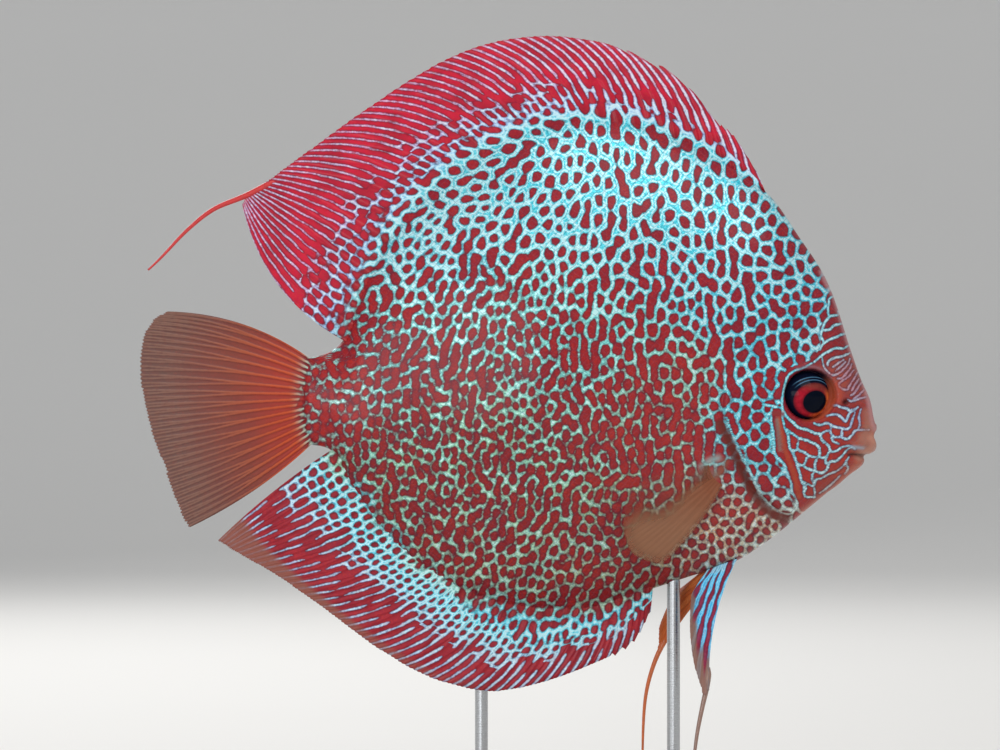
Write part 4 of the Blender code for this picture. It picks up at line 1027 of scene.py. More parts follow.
def makeSkinMaterial():
    made, tree, shader = newMaterial("discusSkin")
    where = attribute(tree, "place2", "Vector")
    marks = useGroup(tree, spotMarkings, Field=readMarkings(tree, where), Place=where,
                     Bright=attribute(tree, "brightTint", "Color"), Cell=attribute(tree, "cellTint", "Color"),
                     Glitter=attribute(tree, "shine"))
    scales = useGroup(tree, fishScales, Place=where, Size=skinLook["scaleSize"])
    bright = marks["Bright mask"]
    tiles = maths(tree, "MULTIPLY", scales["Edge"], mapRange(tree, bright, 0.3, 1.0, *skinLook["scaleShare"]))
    # painted shade in the mouth's groove and the nostril's pit
    creaseShade = maths(tree, "MULTIPLY", attribute(tree, "creaseShade"), skinLook["creaseShadeShare"])
    colour = mixColour(tree, tiles, marks["Colour"], linear(*skinLook["scaleEdge"]))
    colour = mixColour(tree, attribute(tree, "covered"), colour, attribute(tree, "pigment", "Color"))
    colour = mixColour(tree, creaseShade, colour, linear(*skinLook["creaseShade"]))
    # the eye socket's painted shadow, partly the dark band through the eye
    colour = mixColour(tree, attribute(tree, "socket"), colour, attribute(tree, "socketTint", "Color"))
    scaled = bump(tree, scales["Height"], *skinLook["scaleBump"])
    feed(tree, shader, {
        "Base Color": colour,
        "Roughness": mapRange(tree, bright, 0.0, 1.0, *skinLook["roughness"]),
        "Metallic": mapRange(tree, bright, 0.0, 1.0, *skinLook["metal"]),
        "Normal": bump(tree, marks["Relief"], *skinLook["markBump"], Normal=scaled),
        **skinLook["surface"]})
    return made


skinPiece = newPiece("skin", makeSkin(), makeSkinMaterial(),
                     ("head", "lower_jaw", "torso", "tail_stalk", "gill_cover_right", "gill_cover_left"))
print("skin made", len(skinPiece.data.polygons))


# fins
finForm = {
    # each fork of a soft ray: how far it opens, in ray gaps, and between which shares of the length
    "forks": ((0.25, (0.25, 0.75)), (0.115, (0.62, 1.0))),
    # the membrane's notches between spines, the rays' own ends and the notches between those
    "spineNotch": (2.4, 0.8), "rayEnd": 0.7, "rayNotch": (0.012, 8),
    "crestWidth": (0.42, 0.24), "rayWidth": 0.3,
    # a ray's segments: depth, where they begin, how many per millimetre, width
    "segments": (0.16, (0.3, 0.6), 2.2, 0.35),
    "margin": (0.93, 0.35),  # where the sheet starts to thin, and what is left at its edge
    "finestSpread": 0.5,
}


def rayPattern(fin, s, t):
    # distance to the nearest ray or branch in ray gaps, and how far the nearest ray is in ray gaps
    gap = t * (fin["rays"] - 1)
    number = np.round(gap)
    f = np.abs(gap - number)
    soft = number >= fin["spines"]
    first, second = [np.where(soft, reach * smoothstep(*span, s), 0.0) for reach, span in finForm["forks"]]
    d = np.abs(np.abs(f - first) - second)
    return d, f, number, soft


def scatter(number, salt):
    # a fixed random value for each line or cell
    v = np.sin(number * 12.9898 + salt * 78.233) * 43758.5453
    return v - np.floor(v)


def softMin(a, b, width):
    share = np.clip(0.5 + 0.5 * (b - a) / width, 0, 1)
    return mix(b, a, share) - width * share * (1 - share)


streakForm = {
    "readAt": 0.55, "steps": 400,
    # sway across the rays and swelling along them: size and turns per millimetre, with a random start
    "sway": ((0.13, 0.55), (0.10, 1.3)), "swayShare": 0.8, "swell": (0.5, 0.95),
    "strength": (1.1, 0.1, 0.7), "widest": 1.25, "narrowing": 0.6,
    "gone": (0.6, 0.45, 0.2), "endsFrom": (0.35, 0.85),
    # the bars' spacing and its scatter, how ragged their last row is, and how they join the lines
    "barScatter": (0.85, 0.3), "barRagged": 0.3, "barEndFrom": (0.3, 0.7), "barFade": (3.0, 0.04),
    "join": 0.8,
}


def finStripes(fin, s, t, length, spread):
    # bright lines along the rays with bars between them near the foot; millimetres inside a cell's edge
    row, form = fin["stripes"], streakForm
    steps = np.linspace(0, 1, form["steps"])
    middle, run = finRows(fin["stations"], np.full(form["steps"], form["readAt"]), steps)
    along = run / np.hypot(*run.T)[:, None]
    step = np.gradient(middle, axis=0)
    arc = np.cumsum(np.abs(step[:, 0] * along[:, 1] - step[:, 1] * along[:, 0])) / row["pitch"]
    phase = np.interp(t, steps, arc)
    spacing = spread / np.interp(t, steps, np.gradient(arc, steps))
    column, line = np.floor(phase), np.round(phase)
    inFin, run = np.clip(s, 0, 1), s * length
    # lines across the fin
    sway = sum(size * np.sin(run * turns + 6.28 * scatter(line, salt))
               for salt, (size, turns) in enumerate(form["sway"], 1))
    across = np.abs(phase + sway * (1 - inFin) * form["swayShare"] - line) * spacing
    swell = sum(np.sin(run * turns + 6.28 * scatter(line, salt))
                for salt, turns in enumerate(form["swell"], 3))
    full, swelling, lost = form["strength"]
    broken = row["broken"] * bell(inFin - row["breaks"][0], row["breaks"][1])
    strength = full + swelling * swell + broken * (swell - lost)
    half = mix(*row["half"], inFin ** form["narrowing"]) * np.clip(strength, 0, form["widest"])
    half *= mix(*row["ends"], smoothstep(*form["endsFrom"], t))
    missing, weak, weakest = form["gone"]
    half -= missing * smoothstep(weak, weakest, strength)
    # bars between them
    least, most = form["barScatter"]
    along = run / row["bar"] * (least + most * scatter(column, 5)) + scatter(column, 6)
    bars = np.abs(along - np.round(along)) * row["bar"]
    ragged = form["barRagged"] * (scatter(column + 31 * np.round(along), 7) - 0.5)
    ends = mix(*row["barEnd"], smoothstep(*form["barEndFrom"], t)) + ragged
    far, soft = form["barFade"]
    bars += far * smoothstep(ends - soft, ends + soft, inFin)
    return softMin(across - half, bars - row["barHalf"], form["join"])


def lobedEdge(lobes, t):
    # lobes of membrane along a margin, each fullest near its rear end, as a share of the fin's length
    ends, height, fullness, sunk = lobes
    place = np.interp(t, ends, np.arange(len(ends)))
    bulge = np.sin(math.pi * (np.ceil(place) - place) ** fullness)
    between = smoothstep(ends[0], ends[0] + 0.03, t) * (1 - smoothstep(ends[-1] - 0.01, ends[-1] + 0.02, t))
    return height * (bulge - sunk * between)


def raySpread(fin, s, t, run):
    # millimetres from one side of the fin to the other across the rays, for each unit of t
    step = 1e-3
    ahead, _ = finRows(fin["stations"], s, np.minimum(t + step, 1.0))
    behind, _ = finRows(fin["stations"], s, np.maximum(t - step, 0.0))
    gone = ahead - behind
    spread = np.abs(gone[:, 0] * run[:, 1] - gone[:, 1] * run[:, 0])
    return np.maximum(spread / (np.minimum(t + step, 1) - np.maximum(t - step, 0)), finForm["finestSpread"])


def finSheet(name, fin, sweep):
    # one closed sheet, laid out on the fin's rays; sweep gives its distance from the middle plane
    columns, rows = (fin["rays"] - 1) * fin["perRay"], fin["rows"]
    bm = bmesh.new()
    bmesh.ops.create_grid(bm, x_segments=columns, y_segments=rows, size=0.5)
    bmesh.ops.solidify(bm, geom=bm.faces[:], thickness=1.0)
    mesh = meshFrom(bm, name)
    flat = readPoints(mesh)
    t, row = np.clip(flat[:, 0] + 0.5, 0, 1), np.clip(flat[:, 1] + 0.5, 0, 1)
    face = np.where(flat[:, 2] < flat[:, 2].mean(), -1.0, 1.0)
    # from below the skin to the notched margin
    root, _ = finRows(fin["stations"], np.zeros_like(t), t)
    tip, _ = finRows(fin["stations"], np.ones_like(t), t)
    length = np.hypot(*(tip - root).T)
    start = -fin["sink"] / np.maximum(length, 1.0)
    d, f, number, soft = rayPattern(fin, np.ones_like(t), t)
    deep, sharp = finForm["spineNotch"]
    spineEdge = fin["teeth"] * (1 - deep * np.clip(f * 2, 0, 1) ** sharp)
    notch, narrow = finForm["rayNotch"]
    softEdge = fin["fray"] * (scatter(number, 0) - finForm["rayEnd"]) - notch * np.clip(d * narrow, 0, 1)
    end = 1 + np.where(soft, softEdge, spineEdge)
    if "lobes" in fin:
        end = end + lobedEdge(fin["lobes"], t)
    s = start + (end - start) * row
    point, run = finRows(fin["stations"], s, t)
    spread = raySpread(fin, s, t, run / np.maximum(np.hypot(*run.T), 1e-9)[:, None])
    # thickness, with the rays raised in both faces
    d, _, _, soft = rayPattern(fin, s, t)
    inFin, away = np.clip(s, 0, 1), d * (spread / (fin["rays"] - 1))
    thin = mix(*fin["membrane"], inFin**0.7)
    crest = mix(*fin["crest"], inFin) * bell(away, mix(*finForm["crestWidth"], inFin))
    depth, span, turns, width = finForm["segments"]
    segments = 1 - depth * soft * smoothstep(*span, s) * bell(np.sin(s * length * turns), width)
    edgeFrom, edgeShare = finForm["margin"]
    thick = (thin + crest * segments) * mix(1.0, edgeShare, smoothstep(edgeFrom, 1.0, row))
    y = sweep(point[:, 0], point[:, 1], inFin, t) + face * thick
    setPoints(mesh, np.column_stack([point[:, 0], y, point[:, 1]]))
    keepValues(mesh, "place2", np.column_stack([point[:, 0], point[:, 1], np.zeros_like(t)]))
    keepValues(mesh, "ray", bell(away, finForm["rayWidth"]))
    keepValues(mesh, "reach", inFin)
    if "stripes" in fin:
        streaks = finStripes(fin, s, t, length, spread)
    else:
        streaks = away - mix(*fin["lines"], inFin)
    fromCells = readLattice(cells, point[:, 0], point[:, 1])
    # the body's cells run on over the fin's foot, further at the front
    foot = mix(*fin["foot"], smoothstep(0.3, 0.65, t)) + 0.02 * np.sin(40 * t) + 0.015 * np.sin(97 * t)
    keepMarkings(mesh, mix(fromCells, streaks, smoothstep(foot - 0.02, foot + 0.06, inFin)))
    # both faces share one map
    bakeMap(mesh, t * 0.98 + 0.01, row * 0.98 + 0.01)
    faceOutwards(mesh)
    return mesh, point, inFin, t


finLook = {
    "raggedness": 0.09, "streaks": (0.6, 0.6, 1), "veil": ((0.4, 0.75), (0.0, 0.22), (0.2, 0.6)),
    "roughness": (0.34, 0.5), "bump": (0.3, 0.00012),
    "surface": {"Coat Roughness": 0.2, "Specular IOR Level": 0.2},
}


def finMaterial(name, tint, alpha=None, coat=0.15, glitter=1.0):
    made, tree, shader = newMaterial(name)
    where = attribute(tree, "place2", "Vector")
    marks = useGroup(tree, spotMarkings, Field=readMarkings(tree, where), Place=where,
                     Bright=attribute(tree, "brightTint", "Color"), Cell=attribute(tree, "cellTint", "Color"),
                     Raggedness=finLook["raggedness"], Glitter=glitter)
    streak = noise(tree, vectorMaths(tree, "MULTIPLY", where, finLook["streaks"]), 1.0, 4.0, "2D")
    span, shares, reach = finLook["veil"]
    veil = maths(tree, "MULTIPLY", mapRange(tree, streak, *span, *shares),
                 mapRange(tree, attribute(tree, "reach"), *reach))
    colour = mixColour(tree, veil, marks["Colour"], linear(*tint))
    colour = mixColour(tree, attribute(tree, "plainness"), colour, attribute(tree, "plainTint", "Color"))
    feed(tree, shader, {
        "Base Color": colour,
        "Roughness": mapRange(tree, streak, 0.3, 0.7, *finLook["roughness"]),
        "Normal": bump(tree, maths(tree, "ADD", marks["Relief"], streak), *finLook["bump"]),
        "Coat Weight": coat, **finLook["surface"]})
    if alpha:
        seen = mapRange(tree, attribute(tree, "ray"), 0.0, 0.9, *alpha)
        feed(tree, shader, {"Alpha": maths(tree, "MULTIPLY", seen, attribute(tree, "dense"))})
    return made


def wave(fin, s, t):
    swing, turn, start = fin["wave"]
    return swing * s * s * np.sin(turn * t + start)


def fade(first, last, span, at):
    # from one colour to the other over the span
    first, last = [linear(*colour) if isinstance(colour, tuple) else colour for colour in (first, last)]
    return mix(first, last, smoothstep(*span, at)[:, None])


def tintFin(mesh, point, bright, cellColour, share):
    # the body's tints at the fin's foot turning to the fin's own
    x, z = point[:, 0], point[:, 1]
    share = share[:, None]
    keepValues(mesh, "brightTint", mix(readLattice(brightTint, x, z), bright, share))
    keepValues(mesh, "cellTint", mix(readLattice(cellTint, x, z), cellColour, share))


# the fins' lines, cells and plain margins: first colour, last colour, where one fades to the other
finTints = {
    "dorsal": {"lines": ((150, 184, 232), (220, 160, 208), (0.05, 0.5)), "own": (-0.02, 0.12),
               "cells": ((182, 16, 48), (204, 14, 56), (0.1, 0.5)),
               "margin": ((176, 10, 36), 0.6, (0.94, 1.0)), "veil": (206, 20, 40)},
    "anal": {"lines": ((78, 208, 232), (168, 184, 226), (0.12, 0.5)), "own": (0.0, 0.15),
             "cells": ((146, 30, 48), (158, 30, 48), (0.1, 0.6)), "late": (0.2, (0.7, 0.2)),
             "margin": ((140, 82, 68), 0.9, (0.86, 0.94)), "marginFrom": (0.3, 0.7),
             "early": (0.13, (0.6, 1.0)), "veil": (190, 44, 50)},
    "tail": {"lines": ((206, 104, 54), (150, 108, 92), (0.2, 0.8)), "own": (-0.02, 0.1),
             "cells": ((178, 44, 16), (136, 58, 42), (0.1, 0.5)), "outer": ((114, 82, 72), (0.4, 0.95)),
             "shade": 0.85, "plain": (0.6, (0.0, 0.12)), "veil": (160, 66, 40), "alpha": (0.80, 0.98)},
}


def makeDorsal():
    look = finTints["dorsal"]
    mesh, point, s, t = finSheet("dorsalFin", dorsal, lambda x, z, s, t: wave(dorsal, s, t))
    tintFin(mesh, point, fade(*look["lines"], s), fade(*look["cells"], s), smoothstep(*look["own"], s))
    colour, share, span = look["margin"]
    keepValues(mesh, "plainness", share * smoothstep(*span, s))
    keepValues(mesh, "plainTint", np.tile(linear(*colour), (len(s), 1)))
    newPiece("dorsalFin", mesh, finMaterial("dorsalMembrane", look["veil"]), ("dorsal_fin",))


def makeAnal():
    look = finTints["anal"]
    mesh, point, s, t = finSheet("analFin", anal, lambda x, z, s, t: wave(anal, s, t))
    # the blue reaches further out at the front, the plain margin further in at the rear
    late = look["late"][0] * smoothstep(*look["late"][1], t)
    early = look["early"][0] * smoothstep(*look["early"][1], t)
    tintFin(mesh, point, fade(*look["lines"], s - late), fade(*look["cells"], s), smoothstep(*look["own"], s))
    colour, share, span = look["margin"]
    keepValues(mesh, "plainness", share * smoothstep(*span, s + early) * smoothstep(*look["marginFrom"], t))
    keepValues(mesh, "plainTint", np.tile(linear(*colour), (len(s), 1)))
    newPiece("analFin", mesh, finMaterial("analMembrane", look["veil"]), ("anal_fin",))


def makeTail():
    look = finTints["tail"]

    def sweep(x, z, s, t):
        return wave(tail, s**0.5, t) - tail["bend"] * s * s

    mesh, point, s, t = finSheet("tailFin", tail, sweep)
    membrane = fade(fade(*look["cells"], s), *look["outer"], s)
    tintFin(mesh, point, fade(*look["lines"], s), membrane * look["shade"], smoothstep(*look["own"], s))
    keepValues(mesh, "plainTint", membrane)
    keepValues(mesh, "plainness", look["plain"][0] * smoothstep(*look["plain"][1], s))
    keepValues(mesh, "dense", np.ones_like(s))
    made = finMaterial("tailMembrane", look["veil"], alpha=look["alpha"], glitter=0.0)
    newPiece("tailFin", mesh, made, ("tail_fin",))


makeDorsal()
makeAnal()
makeTail()
print("median fins made")


# paired fins
pectoral = {
    "stations": [((47.0, -22.6), (31.0, -25.6), 0.04), ((47.5, -23.3), (27.2, -30.0), 0.03),
                 ((48.1, -24.0), (26.0, -36.4), 0.0), ((48.8, -24.8), (28.0, -42.8), -0.03),
                 ((49.6, -25.6), (35.0, -45.6), -0.10)],
    "rays": 12, "perRay": 12, "rows": 60, "sink": 1.2, "spines": 0, "teeth": 0.0, "fray": 0.02,
    "membrane": (0.4, 0.12), "crest": (0.05, 0.03), "lines": (0.2, 0.15), "foot": (-0.2, -0.2),
    # how far the fin stands off the flank at its foot and tip, and where it bends away from it
    "lift": {"right": (1.5, 3.4), "left": (1.8, 9.0)}, "hinge": 0.22,
    "tints": ((176, 120, 90), (132, 80, 54)), "plain": ((138, 78, 50), (150, 104, 76), (0, 0.7)),
    "plainness": 0.96, "veil": (150, 96, 66), "alpha": (0.78, 0.86), "coat": 0.2,
    # the opaque wedge: between which rays, where along them, and what is left of the rest
    "wedge": ((0.42, 0.72), (1.03, 0.93), (1.14, 0.84)), "clear": 0.06, "denseFoot": (0.22, 0.05),
}
pelvic = {
    "right": [((51.9, -45.9), (46.0, -73.8), 0.12), ((50.9, -46.3), (44.9, -75.2), 0.10),
              ((49.8, -46.7), (43.6, -72.6), 0.08), ((48.6, -47.1), (42.3, -67.2), 0.06),
              ((47.5, -47.4), (41.6, -61.6), 0.05), ((46.4, -47.8), (41.6, -56.6), 0.03),
              ((45.0, -48.2), (41.9, -52.4), 0.0)],
    "left": [((50.4, -46.4), (35.6, -66.6), 0.05), ((49.0, -47.0), (35.0, -66.0), 0.07),
             ((47.6, -47.5), (35.0, -62.0), 0.08), ((46.2, -47.9), (36.0, -58.6), 0.06),
             ((44.8, -48.2), (37.4, -55.6), 0.04), ((43.6, -48.6), (39.4, -52.4), 0.0)],
    "threads": {"right": [(46.0, -69.0), (45.5, -73.0), (44.6, -77.5), (43.2, -85.0), (42.2, -92.0),
                          (41.8, -100.0)],
                "left": [(40.6, -57.0), (37.6, -62.0), (34.6, -68.0), (32.4, -76.0), (31.4, -85.0),
                         (31.2, -94.0)]},
    "rays": 7, "perRay": 14, "rows": 90, "sink": 1.6, "spines": 1, "teeth": 0.01, "fray": 0.03,
    "membrane": (0.7, 0.14), "crest": (0.34, 0.2), "foot": (-0.2, -0.2),
    "stripes": {"pitch": 1.9, "half": (0.42, 0.44), "bar": 60.0, "barHalf": -1.0, "barEnd": (-1.0, -1.0),
                "broken": 0.2, "breaks": (0.5, 0.4), "ends": (1.0, 1.0)},
    "root": 2.4, "splay": {"right": 5.6, "left": 6.2}, "threadFrom": 0.8, "threadSplay": 1.6,
    "own": (-0.1, 0.05), "plainness": 0.9, "plainFrom": (0.7, 0.84),
    # the near fin is blue with a plain tip, the far one orange
    "look": {"right": {"tints": ((44, 184, 238), (142, 36, 72)), "plain": (142, 110, 96), "bare": 0.0,
                       "veil": (120, 100, 140), "glitter": 0.5},
             "left": {"tints": ((220, 130, 70), (198, 96, 40)), "plain": (204, 100, 42), "bare": 0.65,
                      "veil": (214, 110, 50), "glitter": 0.0}},
}
thread = {
    "steps": 60, "sides": 10, "path": 400, "taper": (0.85, 0.23, 0.8), "start": (-0.06, 0.1),
    "wobble": (0.25, 9.0), "grain": (900.0, 3.0), "shades": (0.75, 1.3), "bump": (0.3, 0.0001),
}


def makePectoral(side, which):
    near, far = pectoral["lift"][which]
    sink = pectoral["sink"]

    def sweep(x, z, s, t):
        lift = (near + sink) * smoothstep(0.0, pectoral["hinge"], s) - sink + (far - near) * s**1.5
        return side * (halfWidth(x, z) + lift)

    mesh, point, s, t = finSheet("pectoralFin_" + which, pectoral, sweep)
    tintFin(mesh, point, *[linear(*tint) for tint in pectoral["tints"]], np.ones_like(s))
    keepValues(mesh, "plainness", np.full_like(s, pectoral["plainness"]))
    keepValues(mesh, "plainTint", fade(*pectoral["plain"], s))
    upper, lower, tip = pectoral["wedge"]
    wedge = smoothstep(*upper, t + 0.06 * np.sin(9 * s)) * smoothstep(*lower, t) * smoothstep(*tip, s)
    solid = np.maximum(wedge, smoothstep(*pectoral["denseFoot"], s))
    keepValues(mesh, "dense", mix(pectoral["clear"], 1.0, solid))
    made = finMaterial("pectoralMembrane_" + which, pectoral["veil"], alpha=pectoral["alpha"],
                       coat=pectoral["coat"], glitter=0.0)
    newPiece("pectoralFin_" + which, mesh, made, ("pectoral_fin_" + which,))


def makePelvic(side, which):
    look = pelvic["look"][which]

    def sweep(x, z, s, t):
        return side * (pelvic["root"] + pelvic["splay"][which] * s * (0.55 + 0.45 * s))

    fin = dict(pelvic, stations=pelvic[which])
    mesh, point, s, t = finSheet("pelvicFin_" + which, fin, sweep)
    tintFin(mesh, point, *[linear(*tint) for tint in look["tints"]], smoothstep(*pelvic["own"], s))
    plain = linear(*look["plain"])
    bareTip = smoothstep(*pelvic["plainFrom"], s + 0.07 * np.sin(24 * t))
    keepValues(mesh, "plainness", mix(look["bare"], pelvic["plainness"], bareTip))
    keepValues(mesh, "plainTint", np.tile(plain, (len(s), 1)))
    made = finMaterial("pelvicMembrane_" + which, look["veil"], glitter=look["glitter"])
    newPiece("pelvicFin_" + which, mesh, made, ("pelvic_fin_" + which,))
    start = float(sweep(0, 0, pelvic["threadFrom"], 0))
    end = float(sweep(0, 0, 1.0, 0)) + side * pelvic["threadSplay"]
    makeThread("pelvicThread_" + which, pelvic["threads"][which], (start, end), plain)


def threadMaterial(name, colour):
    made, tree, shader = newMaterial(name)
    grain = noise(tree, addNode(tree, "ShaderNodeTexCoord").outputs["Object"], *thread["grain"])
    dark, light = thread["shades"]
    feed(tree, shader, {
        "Base Color": mixColour(tree, grain, colour * dark, np.minimum(colour * light, 1)),
        "Roughness": 0.4, "Coat Weight": 0.4, "Normal": bump(tree, grain, *thread["bump"])})
    return made


def makeThread(name, line, ys, colour):
    # a free filament, from a plain cylinder laid along the line
    bm = bmesh.new()
    bmesh.ops.create_cone(bm, cap_ends=True, segments=thread["sides"], radius1=1, radius2=1, depth=2)
    sides = [e for e in bm.edges if abs(e.verts[0].co.z - e.verts[1].co.z) > 1]
    bmesh.ops.subdivide_edges(bm, edges=sides, cuts=thread["steps"] - 1, use_grid_fill=False)
    mesh = meshFrom(bm, name)
    flat = readPoints(mesh)
    share = (flat[:, 2] + 1) / 2
    path = spline(line, thread["path"])
    run = np.gradient(path, axis=0)
    run /= np.hypot(*run.T)[:, None]
    at = np.round(share * (thread["path"] - 1)).astype(int)
    thick, thinned, power = thread["taper"]
    radius = mix(thick, thinned, share**power) * smoothstep(*thread["start"], share)
    across = np.column_stack([-run[at, 1], run[at, 0]]) * (flat[:, 0] * radius)[:, None]
    size, turns = thread["wobble"]
    points = np.column_stack([path[at, 0] + across[:, 0] + size * np.sin(share * turns) * share,
                              mix(*ys, share) + flat[:, 1] * radius, path[at, 1] + across[:, 1]])
    setPoints(mesh, points)
    faceOutwards(mesh)
    newPiece(name, mesh, threadMaterial(name + "Skin", colour))


for side, which in ((-1, "right"), (1, "left")):
    makePectoral(side, which)
    makePelvic(side, which)
makeThread("dorsalThread", dorsal["thread"], dorsal["threadY"], linear(*dorsal["threadTint"]))
print("paired fins made")


# eyes
eye = {
    "at": notAsSeen(*skin["eye"], 14.0), "radius": 5.7, "halfDepth": 4.3, "bulge": 1.3,
    "iris": 4.15, "pupil": 2.5, "cornea": (0.28, 3.4), "segments": (64, 48),
    # the iris and the pupil: place on the ball, and how far each is from round
    "rounds": (((1.05, -1.15), (0.87, 1.06, 1.0)), ((1.25, -1.55), (0.84, 0.98, 1.0))),
    "fibres": (4.0, 0.8),
    # directions over the ball: one axis, and a share of the other
    "front": ("X", "Y", -0.55), "above": ("Y", "X", 0.3), "below": ("X", "Y", -0.5),
    # iris: crimson behind, brown above, glowing orange in front and below, darker at its rims
    "irisTint": (168, 26, 44),
    "irisLayers": [("above", (0.8, 3.6), (0.0, 1.0), (122, 50, 44)),
                   ("front", (0.6, 4.0), (0.0, 1.0), (236, 124, 58)),
                   ("fibres", (0.35, 0.7), (0.0, 0.3), (96, 14, 24)),
                   ("inner", (2.5, 3.1), (0.65, 0.0), (86, 10, 22)),
                   ("radius", (3.5, 4.15), (0.0, 0.5), (60, 18, 30))],
    "pupilTint": (3, 9, 24), "pupilEdge": (-0.10, 0.14), "irisEdge": (-0.16, 0.16),
    # the ball around the iris: navy, turning to brown in front and below
    "ballTint": (8, 15, 34), "ballLayers": [("below", (1.8, 4.0), (0.0, 1.0), (222, 120, 72))],
    # painted highlights: pale arcs over the iris and along the top of the ball: radius, and where each fades
    "highlightArcs": ((4.85, (2.6, 4.2)), (5.5, (3.2, 4.8))), "highlightEdge": (0.03, 0.16), "highlightShare": 0.55,
    "highlightTint": (96, 150, 186),
    "rim": ((5.25, 5.6), (1.0, 5.0)), "rimShare": 0.7, "rimTint": (120, 96, 112),
}


def makeEyeMaterial():
    made, tree, shader = newMaterial("eyeball")
    ball = attribute(tree, "eyePlace", "Vector")
    fromIris, fromPupil = [vectorMaths(tree, "MULTIPLY", vectorMaths(tree, "SUBTRACT", ball, (*at, 0)), form)
                           for at, form in eye["rounds"]]
    axes = addNode(tree, "ShaderNodeSeparateXYZ", {0: fromIris}).outputs
    radius, inner, outer = [vectorMaths(tree, "LENGTH", v, (0, 0, 0), "Value")
                            for v in (fromIris, fromPupil, ball)]
    around, outwards = eye["fibres"]
    turn = maths(tree, "MULTIPLY", maths(tree, "ARCTAN2", axes["Y"], axes["X"]), around)
    threads = {"X": turn, "Y": maths(tree, "MULTIPLY", radius, outwards)}
    fibres = noise(tree, addNode(tree, "ShaderNodeCombineXYZ", threads).outputs[0], 1.0, 2.0, "2D")
    sources = {"fibres": fibres, "inner": inner, "radius": radius}
    for way in ("front", "above", "below"):
        axis, other, share = eye[way]
        sources[way] = maths(tree, "ADD", axes[axis], maths(tree, "MULTIPLY", axes[other], share))
    iris = overlay(tree, linear(*eye["irisTint"]), sources, eye["irisLayers"])
    beyond = overlay(tree, linear(*eye["ballTint"]), sources, eye["ballLayers"])
    pupilEdge, irisEdge = [[eye[part] + shift for shift in eye[part + "Edge"]] for part in ("pupil", "iris")]
    colour = mixColour(tree, mapRange(tree, inner, *pupilEdge), linear(*eye["pupilTint"]), iris)
    colour = mixColour(tree, mapRange(tree, radius, *irisEdge), colour, beyond)
    # painted highlights: pale arcs over the iris and along the top of the ball
    bands = []
    for at, span in eye["highlightArcs"]:
        band = maths(tree, "ABSOLUTE", maths(tree, "SUBTRACT", radius, at))
        band = mapRange(tree, band, *eye["highlightEdge"], 1.0, 0.0)
        bands.append(maths(tree, "MULTIPLY", band, mapRange(tree, axes["Y"], *span)))
    highlightArcs = maths(tree, "MULTIPLY", maths(tree, "MAXIMUM", *bands), eye["highlightShare"])
    colour = mixColour(tree, highlightArcs, colour, linear(*eye["highlightTint"]))
    outside, height = eye["rim"]
    rim = maths(tree, "MULTIPLY", mapRange(tree, outer, *outside), mapRange(tree, axes["Y"], *height))
    colour = mixColour(tree, maths(tree, "MULTIPLY", rim, eye["rimShare"]), colour, linear(*eye["rimTint"]))
    feed(tree, shader, {
        "Base Color": colour, "Roughness": mapRange(tree, fibres, 0.2, 0.8, 0.3, 0.5),
        "Coat Weight": 0.13, "Coat Roughness": 0.02, "Specular IOR Level": 0.0,
        "Normal": bump(tree, fibres, 0.1, 0.0001)})
    return made


def makeEye(side, name, material, replaced):
    surface, out = flankPoint(*eye["at"], side)
    centre = surface - out * (eye["halfDepth"] - eye["bulge"])
    bm = bmesh.new()
    around, upwards = eye["segments"]
    bmesh.ops.create_uvsphere(bm, u_segments=around, v_segments=upwards, radius=1.0)
    mesh = meshFrom(bm, name)
    ball = readPoints(mesh)
    # axes of the eye: forward along the flank, up, and out
    up = np.array((0.0, 0.0, 1.0)) - out * out[2]
    up /= np.linalg.norm(up)
    forward = np.cross(up, out)
    forward = forward if forward[0] > 0 else -forward
    local = ball[:, [0, 1]] * eye["radius"]
    depth = ball[:, 2] * eye["halfDepth"]
    # the outer half is a little flatter but for the cornea
    height, width = eye["cornea"]
    flatter = height * bell(np.hypot(local[:, 0], local[:, 1]), width) - height
    depth = depth + np.where(ball[:, 2] > 0, flatter, 0.0)
    points = centre + local[:, :1] * forward + local[:, 1:] * up + depth[:, None] * out
    setPoints(mesh, points)
    keepValues(mesh, "eyePlace", np.column_stack([local, np.zeros(len(local))]))
    faceOutwards(mesh)
    newPiece(name, mesh, material, (replaced,))


eyeMaterial = makeEyeMaterial()
makeEye(-1, "eyeball_right", eyeMaterial, "eye_right")
makeEye(1, "eyeball_left", eyeMaterial, "eye_left")
print("eyes made")


# stand
woodLook = {
    "grain": (14.0, 160.0, 90.0), "grainTints": ((66, 40, 26), (122, 80, 50)),
    "pores": (120.0, 2600.0, 900.0), "poreLayers": [("pores", (0.56, 0.7), (0.0, 0.6), (38, 22, 14))],
    "roughness": (0.32, 0.46), "coat": 0.25, "bump": (0.25, 0.0002),
}
steelLook = {
    "lines": (200.0, 200.0, 6000.0), "tints": ((168, 170, 172), (206, 208, 210)),
    "roughness": (0.22, 0.4), "bump": (0.15, 0.00005),
}


def makeWood():
    made, tree, shader = newMaterial("walnut")
    where = addNode(tree, "ShaderNodeTexCoord").outputs["Object"]
    grain = noise(tree, stretched(tree, where, woodLook["grain"]), 1.0, 6.0, Roughness=0.6, Distortion=0.6)
    pores = noise(tree, stretched(tree, where, woodLook["pores"]), 1.0, 2.0)
    dark, light = [linear(*tint) for tint in woodLook["grainTints"]]
    colour = mixColour(tree, mapRange(tree, grain, 0.3, 0.7), dark, light)
    feed(tree, shader, {
        "Base Color": overlay(tree, colour, {"pores": pores}, woodLook["poreLayers"]),
        "Roughness": mapRange(tree, grain, 0.2, 0.8, *woodLook["roughness"]),
        "Coat Weight": woodLook["coat"], "Normal": bump(tree, pores, *woodLook["bump"])})
    return made


